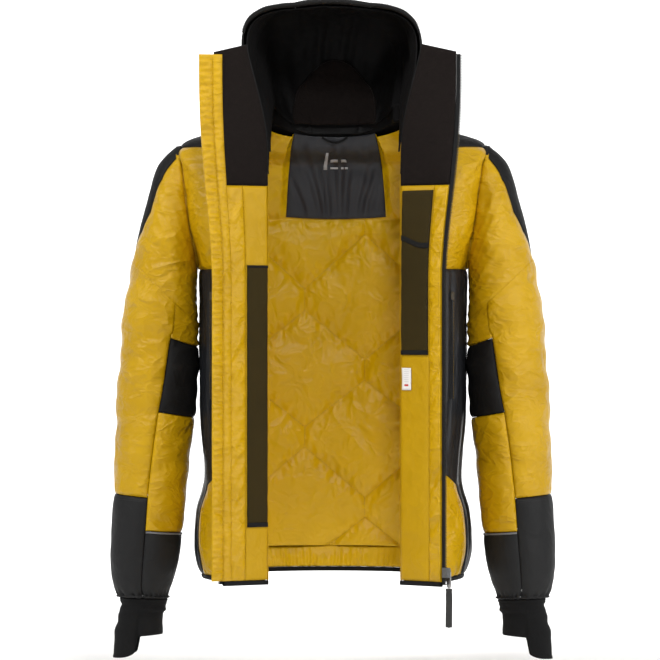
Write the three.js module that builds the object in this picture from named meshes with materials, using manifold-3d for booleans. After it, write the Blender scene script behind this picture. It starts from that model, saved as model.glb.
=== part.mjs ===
// A lightly insulated hooded jacket, standing as if worn, unzipped, with both fronts turned back.
// Millimetres, +Z up, the front of the jacket faces -Y and the wearer's left is +X.
// The origin is the middle of the hanger loop at the back of the neck.
import Module from 'manifold-3d';
import * as THREE from 'three';
import { mergeVertices } from 'three/addons/utils/BufferGeometryUtils.js';

const wasm = await Module();
wasm.setup();

const { cos, sin, abs, min, max, PI } = Math;
const DEG = PI / 180;

// ---------- driving dimensions ----------
const SHELL = 2.4; // thickness of the quilted outer cloth with its fill
const LINING = 1.4; // thickness of the lining
const FACING = 1.2; // thickness of a facing, a pocket or a band sewn on top of another layer
const LAYER_GAP = 2.2; // free space between two layers of a curved wall
const FLAT_GAP = 0.5; // free space between two layers of a flat front
const SEAM = 0.6; // free space between two panels at a seam

const HEM_DROP = 690; // loop to hem at the side seam
const HEM_HALF = 203; // half width at the hem
const HIP_HALF = 213;
const WAIST_HALF = 197;
const RIB_HALF = 204;
const CHEST_HALF = 208;
const CHEST_DROP = 211; // loop to armpit
const SHOULDER_HALF = 237;
const SHOULDER_DROP = 17; // loop to the tip of the shoulder
const NECK_HALF = 98;
const NECK_DROP = 84; // loop to the front end of the neck seam
const NECK_BACK = 62; // middle of the body to the hanger loop
const FRONT_DEPTH = 116; // middle of the body to the line where the fronts turn back
const BACK_DEPTH = 121; // middle of the body to the back at the chest

const CLOSE_GAP = 0.9; // free space behind a piece sewn flat on the lining
// from the outside to the face of the satin yoke
const WALL = SHELL + LAYER_GAP + LINING + CLOSE_GAP + FACING;

const FRONTS = [
  // fold: how far from the middle the front turns back; width: fold to zip; tilt: how far it stands forward
  { name: 'right', k: -1, fold: 96, width: 94, tilt: 40, topTilt: 17 },
  { name: 'left', k: 1, fold: 110, width: 98, tilt: 44, topTilt: 17 },
];
const WING_TOP = 121; // height of the collar's front end above the loop
const WING_TOP_INNER = 141; // the same at the inner end, where the collar meets the hood
const FRONT_HEM = HEM_DROP + 6; // loop to the hem at the fronts
const BINDING = 7; // height of the hem binding
const HINGE_R = 1.5; // half thickness of a front, whose rolled end turns on the fold

const CHAIN = 3.5; // width of the zip's teeth
const CHAIN_T = 3.2; // thickness of the teeth
const TAPE_T = 1.2;
const SLIDER = { length: 15, reach: 11.5, wall: 1.6, gap: 0.4 };
const PIN = { wide: 1.8, thick: 1.6 }; // the puller's top bar
const PULLER = { width: 8, length: 24 };
const PULL_TAPE = { width: 8.5, length: 60, thick: 2.2 };

const HOOD_TOP = 205; // loop to the crown of the hood
const CUFF_DROP = 720; // loop to the end of the sleeve
const LOOP = { width: 40, drop: 10, cord: 3 };
const SATIN = { seam: 7.6, low: 79, top: 66 }; // the inner yoke: the ring of its lower seam, its half widths

// ---------- small helpers ----------
const mix = (a, b, f) => a + (b - a) * f;
const clamp = (x, a, b) => min(max(x, a), b);
const smooth = (a, b, x) => {
  const f = clamp((x - a) / (b - a), 0, 1);
  return f * f * (3 - 2 * f);
};

/** A smooth curve through equally spaced values, read at x from 0 to values.length - 1. */
function spline(values, x) {
  const last = values.length - 1;
  const i = clamp(Math.floor(x), 0, last - 1);
  const f = clamp(x - i, 0, 1);
  const p1 = values[i];
  const p2 = values[i + 1];
  const p0 = i > 0 ? values[i - 1] : 2 * p1 - p2;
  const p3 = i + 2 <= last ? values[i + 2] : 2 * p2 - p1;
  return p1 + 0.5 * f * (p2 - p0 + f * (2 * p0 - 5 * p1 + 4 * p2 - p3 + f * (3 * (p1 - p2) + p3 - p0)));
}

/** Straight lines through [x, y] pairs. */
function steps(pairs, x) {
  for (let i = 1; i < pairs.length; i++) {
    const [x0, y0] = pairs[i - 1];
    const [x1, y1] = pairs[i];
    if (x <= x1) return mix(y0, y1, clamp((x - x0) / (x1 - x0), 0, 1));
  }
  return pairs[pairs.length - 1][1];
}

/** A closed mesh from points and triangles, turned so that its faces point out. */
function closed(points, triangles) {
  let volume = 0;
  for (const [a, b, c] of triangles) {
    volume += points[a].dot(new THREE.Vector3().crossVectors(points[b], points[c]));
  }
  const index = triangles.flatMap(([a, b, c]) => (volume > 0 ? [a, b, c] : [a, c, b]));
  const geometry = new THREE.BufferGeometry().setFromPoints(points);
  geometry.setIndex(index);
  geometry.computeVertexNormals();
  return geometry;
}

/** The outward unit normal of a surface at (u, v). */
function normalAt(surface, u, v) {
  const h = 1e-3;
  const du = surface(u + h, v).sub(surface(u - h, v));
  const dv = surface(u, v + h).sub(surface(u, v - h));
  return dv.cross(du).normalize();
}

/**
 * A panel: the part of a surface that patch(p, q) covers, p and q from 0 to 1, as a closed solid
 * between two offsets along the normal. A ring panel joins up with itself in p.
 */
function panel(surface, patch, { cols, rows = patch.rows, from = 0, to = -SHELL, side = 1, ring = false }) {
  const points = [];
  const wide = ring ? cols : cols + 1;
  for (let j = 0; j <= rows; j++) {
    for (let i = 0; i < wide; i++) {
      const [u, v] = patch(i / cols, j / rows);
      const p = surface(u, v);
      const n = normalAt(surface, u, v).multiplyScalar(side);
      points.push(p.clone().addScaledVector(n, from), p.clone().addScaledVector(n, to));
    }
  }
  const at = (i, j, layer) => 2 * (j * wide + (i % wide)) + layer;
  const triangles = [];
  const quad = (a, b, c, d) => triangles.push([a, b, c], [a, c, d]);
  for (let j = 0; j < rows; j++) {
    for (let i = 0; i < cols; i++) {
      quad(at(i, j, 0), at(i + 1, j, 0), at(i + 1, j + 1, 0), at(i, j + 1, 0));
      quad(at(i, j, 1), at(i, j + 1, 1), at(i + 1, j + 1, 1), at(i + 1, j, 1));
    }
  }
  for (let i = 0; i < cols; i++) {
    quad(at(i, 0, 0), at(i, 0, 1), at(i + 1, 0, 1), at(i + 1, 0, 0));
    quad(at(i, rows, 0), at(i + 1, rows, 0), at(i + 1, rows, 1), at(i, rows, 1));
  }
  for (let j = 0; j < rows && !ring; j++) {
    quad(at(0, j, 0), at(0, j + 1, 0), at(0, j + 1, 1), at(0, j, 1));
    quad(at(cols, j, 0), at(cols, j, 1), at(cols, j + 1, 1), at(cols, j + 1, 0));
  }
  return closed(points, triangles);
}

/** Two closed meshes joined into one. */
function fuse(first, second) {
  const solids = [first, second].map((geometry) => {
    const bare = geometry.clone();
    bare.deleteAttribute('normal');
    bare.deleteAttribute('uv');
    const merged = mergeVertices(bare, 1e-4);
    const mesh = new wasm.Mesh({
      numProp: 3,
      vertProperties: new Float32Array(merged.attributes.position.array),
      triVerts: new Uint32Array(merged.index.array),
    });
    return new wasm.Manifold(mesh);
  });
  const { vertProperties, triVerts } = solids[0].add(solids[1]).getMesh();
  const joined = new THREE.BufferGeometry();
  joined.setAttribute('position', new THREE.BufferAttribute(new Float32Array(vertProperties), 3));
  joined.setIndex(new THREE.BufferAttribute(new Uint32Array(triVerts), 1));
  joined.computeVertexNormals();
  return joined;
}

/** A patch between two values of u and two of v, where a bound may be a number or a function. */
function between(u0, u1, v0, v1) {
  const read = (bound, x) => (typeof bound === 'function' ? bound(x) : bound);
  return (p, q) => {
    const v = mix(read(v0, p), read(v1, p), q);
    return [mix(read(u0, v), read(u1, v), p), v];
  };
}

/** A patch between two bounds of u whose rows lie on the given values of v. */
function bands(u0, u1, levels) {
  const patch = (p, q) => {
    const at = q * (levels.length - 1);
    const i = min(Math.floor(at), levels.length - 2);
    const v = mix(levels[i], levels[i + 1], at - i);
    return between(u0, u1, v, v)(p, 0);
  };
  patch.rows = levels.length - 1;
  return patch;
}

/** Evenly spaced values from a to b in n steps. */
const spread = (a, b, n) => Array.from({ length: n + 1 }, (_, i) => mix(a, b, i / n));

// ---------- cloth and trim ----------
const cloth = {
  mustard: { color: 0xc89a14, roughness: 0.5 },
  black: { color: 0x17171a, roughness: 0.7 },
  charcoal: { color: 0x303136, roughness: 0.55 },
  fleece: { color: 0x241f1d, roughness: 0.95 },
  mesh: { color: 0x362c05, roughness: 0.8 },
  satin: { color: 0x3a3a42, roughness: 0.4 },
  knit: { color: 0x1b1b1d, roughness: 0.9 },
  binding: { color: 0x121214, roughness: 0.8 },
  plastic: { color: 0x101011, roughness: 0.45 },
  metal: { color: 0x55585c, roughness: 0.35, metalness: 0.9 },
  label: { color: 0xf2f0ea, roughness: 0.8 },
};

const jacket = new THREE.Group();
const body = new THREE.Group(); // measured from the middle of the body, under the loop
body.position.y = -NECK_BACK;
jacket.add(body);

function add(name, geometry, finish, parent = body) {
  const mesh = new THREE.Mesh(geometry, new THREE.MeshStandardMaterial(cloth[finish]));
  mesh.name = name;
  parent.add(mesh);
  return mesh;
}

// ---------- the body ----------
/** The height a share of the way up from the hem to the armpit. */
const level = (share) => mix(-HEM_DROP, -CHEST_DROP, share);

// Level rings from the hem to the neck. side, fold and back are heights at the side seam, at the fold of
// the front and at the middle of the back; half is the half width and deep the depth of the back.
const RINGS = [
  { side: -HEM_DROP, fold: -FRONT_HEM, back: -HEM_DROP + 5, half: HEM_HALF, deep: 112 },
  { side: level(0.104), fold: level(0.104), back: level(0.104) + 4, half: HIP_HALF, deep: 119 },
  { side: level(0.213), fold: level(0.213), back: level(0.213) + 2, half: HIP_HALF - 3, deep: 118 },
  { side: level(0.33), fold: level(0.33), back: level(0.33), half: WAIST_HALF, deep: 113 },
  { side: level(0.53), fold: level(0.53), back: level(0.53), half: RIB_HALF, deep: 118 },
  { side: level(0.762), fold: level(0.762), back: level(0.762), half: RIB_HALF + 1, deep: BACK_DEPTH },
  { side: -CHEST_DROP, fold: -CHEST_DROP, back: -CHEST_DROP, half: CHEST_HALF, deep: BACK_DEPTH + 1 },
  { side: -136, fold: -172, back: -160, half: SHOULDER_HALF - 5, deep: BACK_DEPTH + 1 },
  { side: -72, fold: -148, back: -110, half: SHOULDER_HALF + 2, deep: 118 },
  { side: -38, fold: -130, back: -70, half: SHOULDER_HALF + 3, deep: 110 },
  { side: -SHOULDER_DROP, fold: -112, back: -40, half: SHOULDER_HALF, deep: 103 },
  { side: 4, fold: -97, back: -18, half: 170, deep: NECK_BACK + WALL + 7 },
  { side: 24, fold: -NECK_DROP, back: 0, half: NECK_HALF, deep: NECK_BACK + WALL + LOOP.cord / 2 + 0.5 },
];
const CHEST = 6; // the ring at the armpit
const SHOULDER = 10; // the ring at the tip of the shoulder
const NECK = 12;
const columns = Object.fromEntries(Object.keys(RINGS[0]).map((key) => [key, RINGS.map((r) => r[key])]));
const ringAt = (s) => Object.fromEntries(Object.keys(columns).map((key) => [key, spline(columns[key], s)]));

/**
 * The outer surface of the body. c runs from -2, the right fold, by -1, the right side seam, and 0, the
 * middle of the back, to 2, the left fold. s counts the rings from the hem up.
 */
function torso(c, s) {
  const r = ringAt(s);
  const k = c < 0 ? -1 : 1;
  const u = abs(c);
  if (u <= 1) {
    const b = (1 - u) * 90 * DEG;
    const x = r.half * cos(b) * (1 + 0.12 * sin(b) ** 2);
    const y = r.deep * sin(b) * (1 + 0.1 * cos(b) ** 2);
    return new THREE.Vector3(k * x, y, mix(r.side, r.back, sin(b) ** 2));
  }
  const start = FRONTS[k < 0 ? 0 : 1].fold + 1;
  const a = (2 - u) * 90 * DEG;
  const x = start + (max(r.half, start + 1) - start) * sin(a);
  const y = -(FRONT_DEPTH - 2) * cos(a) * (1 + 0.15 * sin(a) ** 2);
  return new THREE.Vector3(k * x, y, mix(r.side, r.fold, cos(a) ** 2));
}

/** The ring whose height at the side seam is z, for the straight part below the chest. */
function ringFor(z) {
  const heights = columns.side;
  let low = 0;
  let high = CHEST;
  for (let i = 0; i < 40; i++) {
    const middle = (low + high) / 2;
    if (spline(heights, middle) < z) low = middle;
    else high = middle;
  }
  return low;
}

// where the armhole cuts the front and the back, in c, ring by ring
const armholeFront = (s) => steps([[CHEST, 1], [6.5, 1.2], [7, 1.275], [8, 1.26], [9, 1.21], [SHOULDER, 1.14]], s);
const armholeBack = (s) => steps([[CHEST, 1], [6.5, 0.83], [7, 0.761], [8, 0.771], [9, 0.817], [SHOULDER, 0.86]], s);
// the front edge of the black shoulder yoke
const yokeFront = (s) => steps([[SHOULDER, 1.14], [11, 1.37], [NECK, 1.48]], s);
const YOKE_BACK = 9.2; // the yoke's lower edge on the back, a ring
const SIDE_TOP = ringFor(-CHEST_DROP - 2);
const STEP_TOP = ringFor(level(0.418));
const STEP_LOW = ringFor(level(0.303));
const BINDING_TOP = ringFor(-HEM_DROP + BINDING);
const gap = SEAM / 200; // the seam gap as a share of a quarter round
const ringGap = 0.03; // the seam gap as a share of the way between two rings
const sideFront = (s) => steps([[0, 1.2], [STEP_LOW, 1.22], [STEP_TOP, 1.84], [CHEST, 1.86]], s);
const sideBack = (s) => steps([[0, 0.7], [ringFor(level(0.752)), 0.68], [ringFor(level(0.898)), 0.86], [CHEST, 0.99]], s);
const LOW_LEVELS = [
  BINDING_TOP, 1, 2, ...spread(STEP_LOW, STEP_TOP, 4), 4,
  ...[0.752, 0.825, 0.898, 0.948].map((share) => ringFor(level(share))), SIDE_TOP,
];
const ARM_LEVELS = [CHEST, 6.2, 6.5, 7, 7.5, 8, 8.5, 9];

function addBody() {
  for (const { name, k } of FRONTS) {
    const chestEdge = (s) => (s < SHOULDER ? armholeFront(s) : yokeFront(s)) + (s > CHEST ? 2 * gap : 0);
    const chest = bands(2 * k, (s) => k * chestEdge(s), [...ARM_LEVELS, 9.5, SHOULDER, 10.5, 11, 11.5, NECK]);
    add(`${name}_chest_shell`, panel(torso, chest, { cols: 6 }), 'mustard');
    const lower = bands(2 * k, (s) => k * (sideFront(s) + gap), LOW_LEVELS);
    add(`${name}_lower_front_shell`, panel(torso, lower, { cols: 5 }), 'mustard');
    const flank = bands((s) => k * (sideFront(s) - gap), (s) => k * (sideBack(s) + gap), LOW_LEVELS);
    add(`${name}_side_panel`, panel(torso, flank, { cols: 9 }), 'charcoal');
  }
  const backEdge = (s) => (s < SIDE_TOP + 1e-6 ? sideBack(s) - gap : armholeBack(s) - 2 * gap);
  const backLevels = [...LOW_LEVELS, ...ARM_LEVELS.slice(1), YOKE_BACK - ringGap];
  const back = bands((s) => -backEdge(s), (s) => backEdge(s), backLevels);
  add('back_shell', panel(torso, back, { cols: 14 }), 'mustard');
  // the yoke crosses both shoulders: its lower edge is the armhole's top, then the seam across the back
  const corner = armholeBack(YOKE_BACK);
  const tip = corner + 0.02;
  const half = [...spread(0, corner - 0.006, 7), tip, 0.9, 0.96, 1, 1.05, yokeFront(SHOULDER)];
  const yokeColumns = [...half.slice(1).map((c) => -c).reverse(), ...half];
  const yoke = (p, q) => {
    const c = yokeColumns[Math.round(p * (yokeColumns.length - 1))];
    const s = mix(abs(c) < tip ? YOKE_BACK + ringGap : SHOULDER + gap, NECK, q);
    const widening = abs(c) > 1 ? (abs(c) - 1) / (yokeFront(SHOULDER) - 1) : 0;
    return [c + Math.sign(c) * widening * (yokeFront(s) - gap - yokeFront(SHOULDER)), s];
  };
  add('shoulder_yoke', panel(torso, yoke, { cols: yokeColumns.length - 1, rows: 4 }), 'black');

  const inside = { from: -SHELL - LAYER_GAP, to: -SHELL - LAYER_GAP - LINING };
  const hemSeam = level(0.087);
  const liningLevels = [ringFor(hemSeam), ...LOW_LEVELS.slice(2, -1), ...ARM_LEVELS];
  const upperBack = [[CHEST, 0.965], [7, 0.71], [9, 0.72], [SHOULDER, 0.72], [11, 0.75], [NECK, 0.9]];
  const liningBack = (s) => (s < CHEST + 1e-6 ? 0.965 : steps(upperBack, s));
  const quilt = bands((s) => -liningBack(s), (s) => liningBack(s), [...liningLevels, 10, 11, NECK - 0.15]);
  add('back_lining', panel(torso, quilt, { cols: 14, ...inside }), 'mustard');
  for (const { name, k } of FRONTS) {
    const edge = (s) => (s < CHEST + 1e-6 ? 1.02 : steps([[CHEST, 1.02], [7, 1.32], [9, 1.3], [11, 1.56]], s));
    const front = bands(1.93 * k, (s) => k * edge(s), [...liningLevels, 10, 11]);
    add(`${name}_front_lining`, panel(torso, front, { cols: 6, ...inside }), 'mustard');
  }
  // the satin yoke narrows in straight lines from its lower seam to the neck
  const satinHalf = (s) => steps([[SATIN.seam, SATIN.low], [NECK, SATIN.top]], s);
  const satinEdge = (s) => Math.asin(satinHalf(s) / (1.1 * ringAt(s).half)) / (90 * DEG);
  const satin = bands((s) => -satinEdge(s), satinEdge, [SATIN.seam, 8, 8.5, 9, 10, 11, 11.5, NECK - 0.04]);
  add('lining_yoke', panel(torso, satin, { cols: 6, from: FACING - WALL, to: -WALL }), 'satin');
  const hemFacing = bands(-0.965, 0.965, [BINDING_TOP + 0.01, ringFor(hemSeam - 18), ringFor(hemSeam - SEAM)]);
  add('hem_facing', panel(torso, hemFacing, { cols: 14, ...inside }), 'mustard');
  const binding = bands(-1.97, 1.97, [0, BINDING_TOP - 2 * gap]);
  add('hem_binding', panel(torso, binding, { cols: 28, from: 0.4, to: -SHELL - LAYER_GAP }), 'binding');
}

function addHangerLoop() {
  const { width, drop, cord } = LOOP;
  const arc = new THREE.QuadraticBezierCurve3(
    new THREE.Vector3(-width / 2, 0, -cord / 2 - 0.4),
    new THREE.Vector3(0, -2, -2 * drop),
    new THREE.Vector3(width / 2, 0, -cord / 2 - 0.4),
  );
  const section = new THREE.Shape(
    new THREE.Path().absarc(0, 0, cord / 2, 0, 2 * PI).getPoints(8).slice(0, 8),
  );
  add('hanger_loop', new THREE.ExtrudeGeometry(section, { steps: 12, extrudePath: arc }), 'binding', jacket);
}

// ---------- the hand pockets ----------
const POCKET = { u: 1.44, top: -246, length: 165, tape: 12, slider: 12 };
function addPocketZips() {
  for (const { name, k } of FRONTS) {
    const half = POCKET.tape / 2 / 190;
    const ends = [POCKET.top - POCKET.length, POCKET.top].map(ringFor);
    const zip = between(k * (POCKET.u + half), k * (POCKET.u - half), ...ends);
    add(`${name}_pocket_zip`, panel(torso, zip, { cols: 1, rows: 4, from: 1.6, to: 0.5 }), 'plastic');
    const runner = new THREE.BoxGeometry(8, 3.4, POCKET.slider);
    const s = ringFor(POCKET.top - POCKET.slider / 2 - 1);
    const n = normalAt(torso, k * POCKET.u, s);
    const mesh = add(`${name}_pocket_slider`, runner, 'metal');
    mesh.position.copy(torso(k * POCKET.u, s)).addScaledVector(n, 1.6 + 0.7 + 1.7);
    mesh.rotation.z = Math.atan2(n.x, -n.y);
  }
}

// ---------- the fronts, turned back ----------
/** How far a front stands forward of the plane of the chest, in radians, at height z. */
const tiltAt = (front, z) => mix(front.tilt, front.topTilt, smooth(-230, 90, z)) * DEG;

/** The middle surface of a front: u from the fold to the free edge, v is the height. */
function flapSurface(front) {
  return (u, z) => {
    const a = tiltAt(front, z);
    return new THREE.Vector3(front.k * (front.fold + u * cos(a)), -FRONT_DEPTH - u * sin(a), z);
  };
}

// rows of a front below the neck
const LOW_FRONT = [level(0.313), level(0.626), level(0.919), -205, -170, -140, -112];
const WING = [-60, -30, 0, 30, 60, 90]; // rows of the collar's end

function addFront(front) {
  const { name, k, width } = front;
  const surface = flapSurface(front);
  const make = (part, patch, from, to, finish, cols = 3) =>
    add(`${name}_${part}`, panel(surface, patch, { cols, from, to, side: -k }), finish);
  const rows = (z0, z1) => [z0, ...[...LOW_FRONT, ...WING].filter((z) => z > z0 + 8 && z < z1 - 8), z1];
  const low = -FRONT_HEM;
  const bindTop = low + BINDING;
  // the inner edge leans out above the neck, where the collar is sewn to the hood
  const inner = (z) => 34 * smooth(-40, WING_TOP_INNER, z) ** 1.4;
  const tapeEdge = width - CHAIN - 5.5;
  const shellEdge = tapeEdge - SEAM;
  const layer1 = HINGE_R + FLAT_GAP;
  const layer2 = layer1 + FACING + 2 * FLAT_GAP;

  // positive offsets are the lining side, which faces forward while the front is turned back
  const rolled = [];
  for (let i = 0; i <= 6; i++) {
    const a = (90 + i * 30) * DEG;
    rolled.push([HINGE_R * cos(a), HINGE_R * sin(a)]);
  }
  rolled.push([shellEdge, -HINGE_R], [shellEdge, HINGE_R]);
  const shellRows = rows(bindTop + SEAM, -NECK_DROP - SEAM / 2);
  add(`${name}_front_shell`, slab(surface, rolled, shellRows, -k), 'mustard');

  // the collar's end: its top edge rises from the zip to the hood
  const wingTop = (u) => mix(WING_TOP_INNER, WING_TOP, clamp(u / shellEdge, 0, 1));
  const wing = (margin, drop) => (p, q) => {
    const z = mix(-NECK_DROP + SEAM / 2 + drop, WING_TOP, q);
    const u = mix(inner(z) + margin, shellEdge, p);
    return [u, z + (wingTop(u) - WING_TOP - drop) * smooth(0.5, 1, q)];
  };
  const collar = { cols: 4, rows: 8, side: -k };
  add(`${name}_collar_shell`, panel(surface, wing(0, 0), { ...collar, from: -HINGE_R, to: HINGE_R }), 'black');
  const face = { ...collar, from: layer1 + 0.4, to: layer1 + 0.4 + LINING };
  add(`${name}_collar_facing`, panel(surface, wing(5, 1.5), face), 'fleece');

  const edge = k < 0 ? 82 : shellEdge;
  make('front_facing', bands(3, edge, rows(bindTop + 1, -NECK_DROP - 1)), layer1, layer1 + FACING, 'mustard');
  const [u0, u1, z0, z1] = k < 0 ? [4, 42, level(0.173), -206] : [6, 63, level(0.724), -92];
  make('mesh_pocket', bands(u0, u1, rows(z0, z1)), layer2, layer2 + FACING, 'mesh');
  make('front_binding', bands(1, tapeEdge - 2, [low, bindTop]), -HINGE_R - 0.6, layer1 + FACING + 0.6, 'binding', 1);

  if (k < 0) {
    // the storm flap starts beside the zip's tape and reaches past the teeth, on the lining side
    const storm = bands(67, width + 15, rows(bindTop + 1, WING_TOP - 4));
    make('storm_flap', storm, layer1 + LINING + 1, layer1 + LINING + 1 + FACING, 'mustard');
  } else {
    make('care_label', bands(8, 28, [z0 - 54, z0 - 20]), layer2, layer2 + 0.8, 'label', 1);
  }
  // the zip's tape, with the teeth along its free edge
  const teeth = width - CHAIN;
  const chain = [
    [tapeEdge, -TAPE_T / 2], [teeth, -TAPE_T / 2], [teeth, -CHAIN_T / 2], [width, -CHAIN_T / 2],
    [width, CHAIN_T / 2], [teeth, CHAIN_T / 2], [teeth, TAPE_T / 2], [tapeEdge, TAPE_T / 2],
  ];
  add(`${name}_zip_chain`, slab(surface, chain, rows(low + 3, WING_TOP - 4), -k), 'plastic');
}

/** A slab of a given section in (u, offset), swept up a front's surface through the given heights. */
function slab(surface, section, heights, side) {
  const rows = heights.length - 1;
  const count = section.length;
  const points = heights.flatMap((z) =>
    section.map(([u, w]) => surface(u, z).addScaledVector(normalAt(surface, u, z), side * w)),
  );
  const triangles = [];
  for (let j = 0; j < rows; j++) {
    for (let i = 0; i < count; i++) {
      const a = j * count + i;
      const b = j * count + ((i + 1) % count);
      triangles.push([a, b, a + count], [b, b + count, a + count]);
    }
  }
  const outline = section.map(([u, w]) => new THREE.Vector2(u, w));
  for (const [a, b, c] of THREE.ShapeUtils.triangulateShape(outline, [])) {
    triangles.push([a, c, b], [rows * count + a, rows * count + b, rows * count + c]);
  }
  return closed(points, triangles);
}

// ---------- the zip's slider and its pull ----------
const SLIDER_Z = -FRONT_HEM + 22;

function addSlider() {
  const front = FRONTS[1];
  const a = tiltAt(front, SLIDER_Z);
  // a frame whose x runs to the front's free edge and whose y is the shell side
  const frame = new THREE.Group();
  frame.position.set(front.fold, -FRONT_DEPTH, SLIDER_Z);
  frame.rotation.z = -a;
  body.add(frame);

  const inner = CHAIN_T / 2 + SLIDER.gap;
  const outer = inner + SLIDER.wall;
  const x0 = front.width - CHAIN - 2.2;
  const x1 = x0 + SLIDER.reach;
  const web = front.width + SLIDER.gap;
  const mouth = new THREE.Shape([
    new THREE.Vector2(x0, -outer), new THREE.Vector2(x1 - 1, -outer), new THREE.Vector2(x1, -outer + 1),
    new THREE.Vector2(x1, outer - 1), new THREE.Vector2(x1 - 1, outer), new THREE.Vector2(x0, outer),
    new THREE.Vector2(x0, inner), new THREE.Vector2(web, inner), new THREE.Vector2(web, -inner),
    new THREE.Vector2(x0, -inner),
  ]);
  const slider = new THREE.ExtrudeGeometry(mouth, { depth: SLIDER.length, bevelEnabled: false });
  slider.translate(0, 0, -SLIDER.length / 2);

  // the crown is an arch on the slider, and the puller's top bar turns under it
  const pinY = outer + 1.85;
  const crown = new THREE.Shape([
    new THREE.Vector2(-5, outer - 0.5), new THREE.Vector2(5, outer - 0.5),
    new THREE.Vector2(5, pinY + 1.8), new THREE.Vector2(4, pinY + 2.8),
    new THREE.Vector2(-4, pinY + 2.8), new THREE.Vector2(-5, pinY + 1.8),
  ]);
  crown.holes.push(rectangle(-2, pinY - 1.4, 4, 2.9));
  const arch = new THREE.ExtrudeGeometry(crown, { depth: 2.5, bevelEnabled: false });
  arch.translate(0, 0, -1.25);
  const middle = (x0 + x1) / 2;
  const upright = new THREE.Matrix4().makeBasis(
    new THREE.Vector3(0, 0, 1), new THREE.Vector3(0, 1, 0), new THREE.Vector3(-1, 0, 0),
  );
  arch.applyMatrix4(upright.setPosition(middle, 0, 0));
  add('zip_slider', fuse(slider, arch), 'metal', frame);

  const plate = new THREE.Shape([
    new THREE.Vector2(-PULLER.width / 2, PIN.wide / 2), new THREE.Vector2(-PULLER.width / 2, -PULLER.length + 3),
    new THREE.Vector2(-PULLER.width / 2 + 2, -PULLER.length), new THREE.Vector2(PULLER.width / 2 - 2, -PULLER.length),
    new THREE.Vector2(PULLER.width / 2, -PULLER.length + 3), new THREE.Vector2(PULLER.width / 2, PIN.wide / 2),
  ]);
  plate.holes.push(rectangle(-1.7, -7.2, 3.4, 7.2 - PIN.wide / 2));
  const puller = new THREE.ExtrudeGeometry(plate, { depth: PIN.thick, bevelEnabled: false });
  puller.translate(0, 0, -PIN.thick / 2);
  const pullerMesh = add('zip_puller', puller, 'metal', frame);
  pullerMesh.position.set(middle, pinY, 0);
  pullerMesh.rotation.x = PI / 2;

  const strap = new THREE.BoxGeometry(PULL_TAPE.width, PULL_TAPE.thick, PULL_TAPE.length);
  const strapMesh = add('pull_tape', strap, 'binding', frame);
  strapMesh.position.set(middle, pinY, -PULLER.length - 0.3 - PULL_TAPE.length / 2);
}

function rectangle(x, y, w, h) {
  return new THREE.Path([
    new THREE.Vector2(x, y), new THREE.Vector2(x + w, y),
    new THREE.Vector2(x + w, y + h), new THREE.Vector2(x, y + h),
  ]);
}

// ---------- the hood ----------
// Ribs from the brow (0) to the back of the neck (5). y and z place the crown's middle, wide is its half
// width, start is where the rib leaves the neck seam, and rise and bulge shape the side.
const RIBS = [
  { y: -108, z: HOOD_TOP - 5, wide: 55, start: 1.75, rise: 143, bulge: 150 },
  { y: -45, z: HOOD_TOP, wide: 58, start: 1.62, rise: 80, bulge: 128 },
  { y: 20, z: HOOD_TOP - 7, wide: 58, start: 1.26, rise: 60, bulge: 105 },
  { y: 72, z: 155, wide: 54, start: 0.92, rise: 45, bulge: 72 },
  { y: 88, z: 80, wide: 48, start: 0.62, rise: 26, bulge: 38 },
  { y: NECK_BACK + 3, z: 2, wide: 38, start: 0.42, rise: 4, bulge: 8 },
];
const ribColumns = Object.fromEntries(Object.keys(RIBS[0]).map((key) => [key, RIBS.map((r) => r[key])]));
const HOOD_SEAM = 2.4;

/** The hood: r from -2, the right end on the neck seam, over the crown (-1 to 1) to 2; t from brow to nape. */
function hoodSurface(r, t) {
  const rib = Object.fromEntries(Object.keys(ribColumns).map((key) => [key, spline(ribColumns[key], t)]));
  const k = r < 0 ? -1 : 1;
  const crownDrop = 5 * smooth(0, 1, 1 - t / 5);
  if (abs(r) <= 1) {
    return new THREE.Vector3(r * rib.wide, rib.y - 3 * r * r, rib.z - crownDrop * r * r);
  }
  const q = abs(r) - 1;
  const top = new THREE.Vector3(k * rib.wide, rib.y - 3, rib.z - crownDrop);
  const foot = torso(k * rib.start, NECK).add(new THREE.Vector3(0, 0, HOOD_SEAM));
  const nearTop = top.clone().add(new THREE.Vector3(k * rib.bulge, -4, -4 * (1 - t / 5)));
  const nearFoot = foot.clone().add(new THREE.Vector3(k * 6, 0, rib.rise));
  return new THREE.CubicBezierCurve3(top, nearTop, nearFoot, foot).getPoint(q);
}

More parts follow.
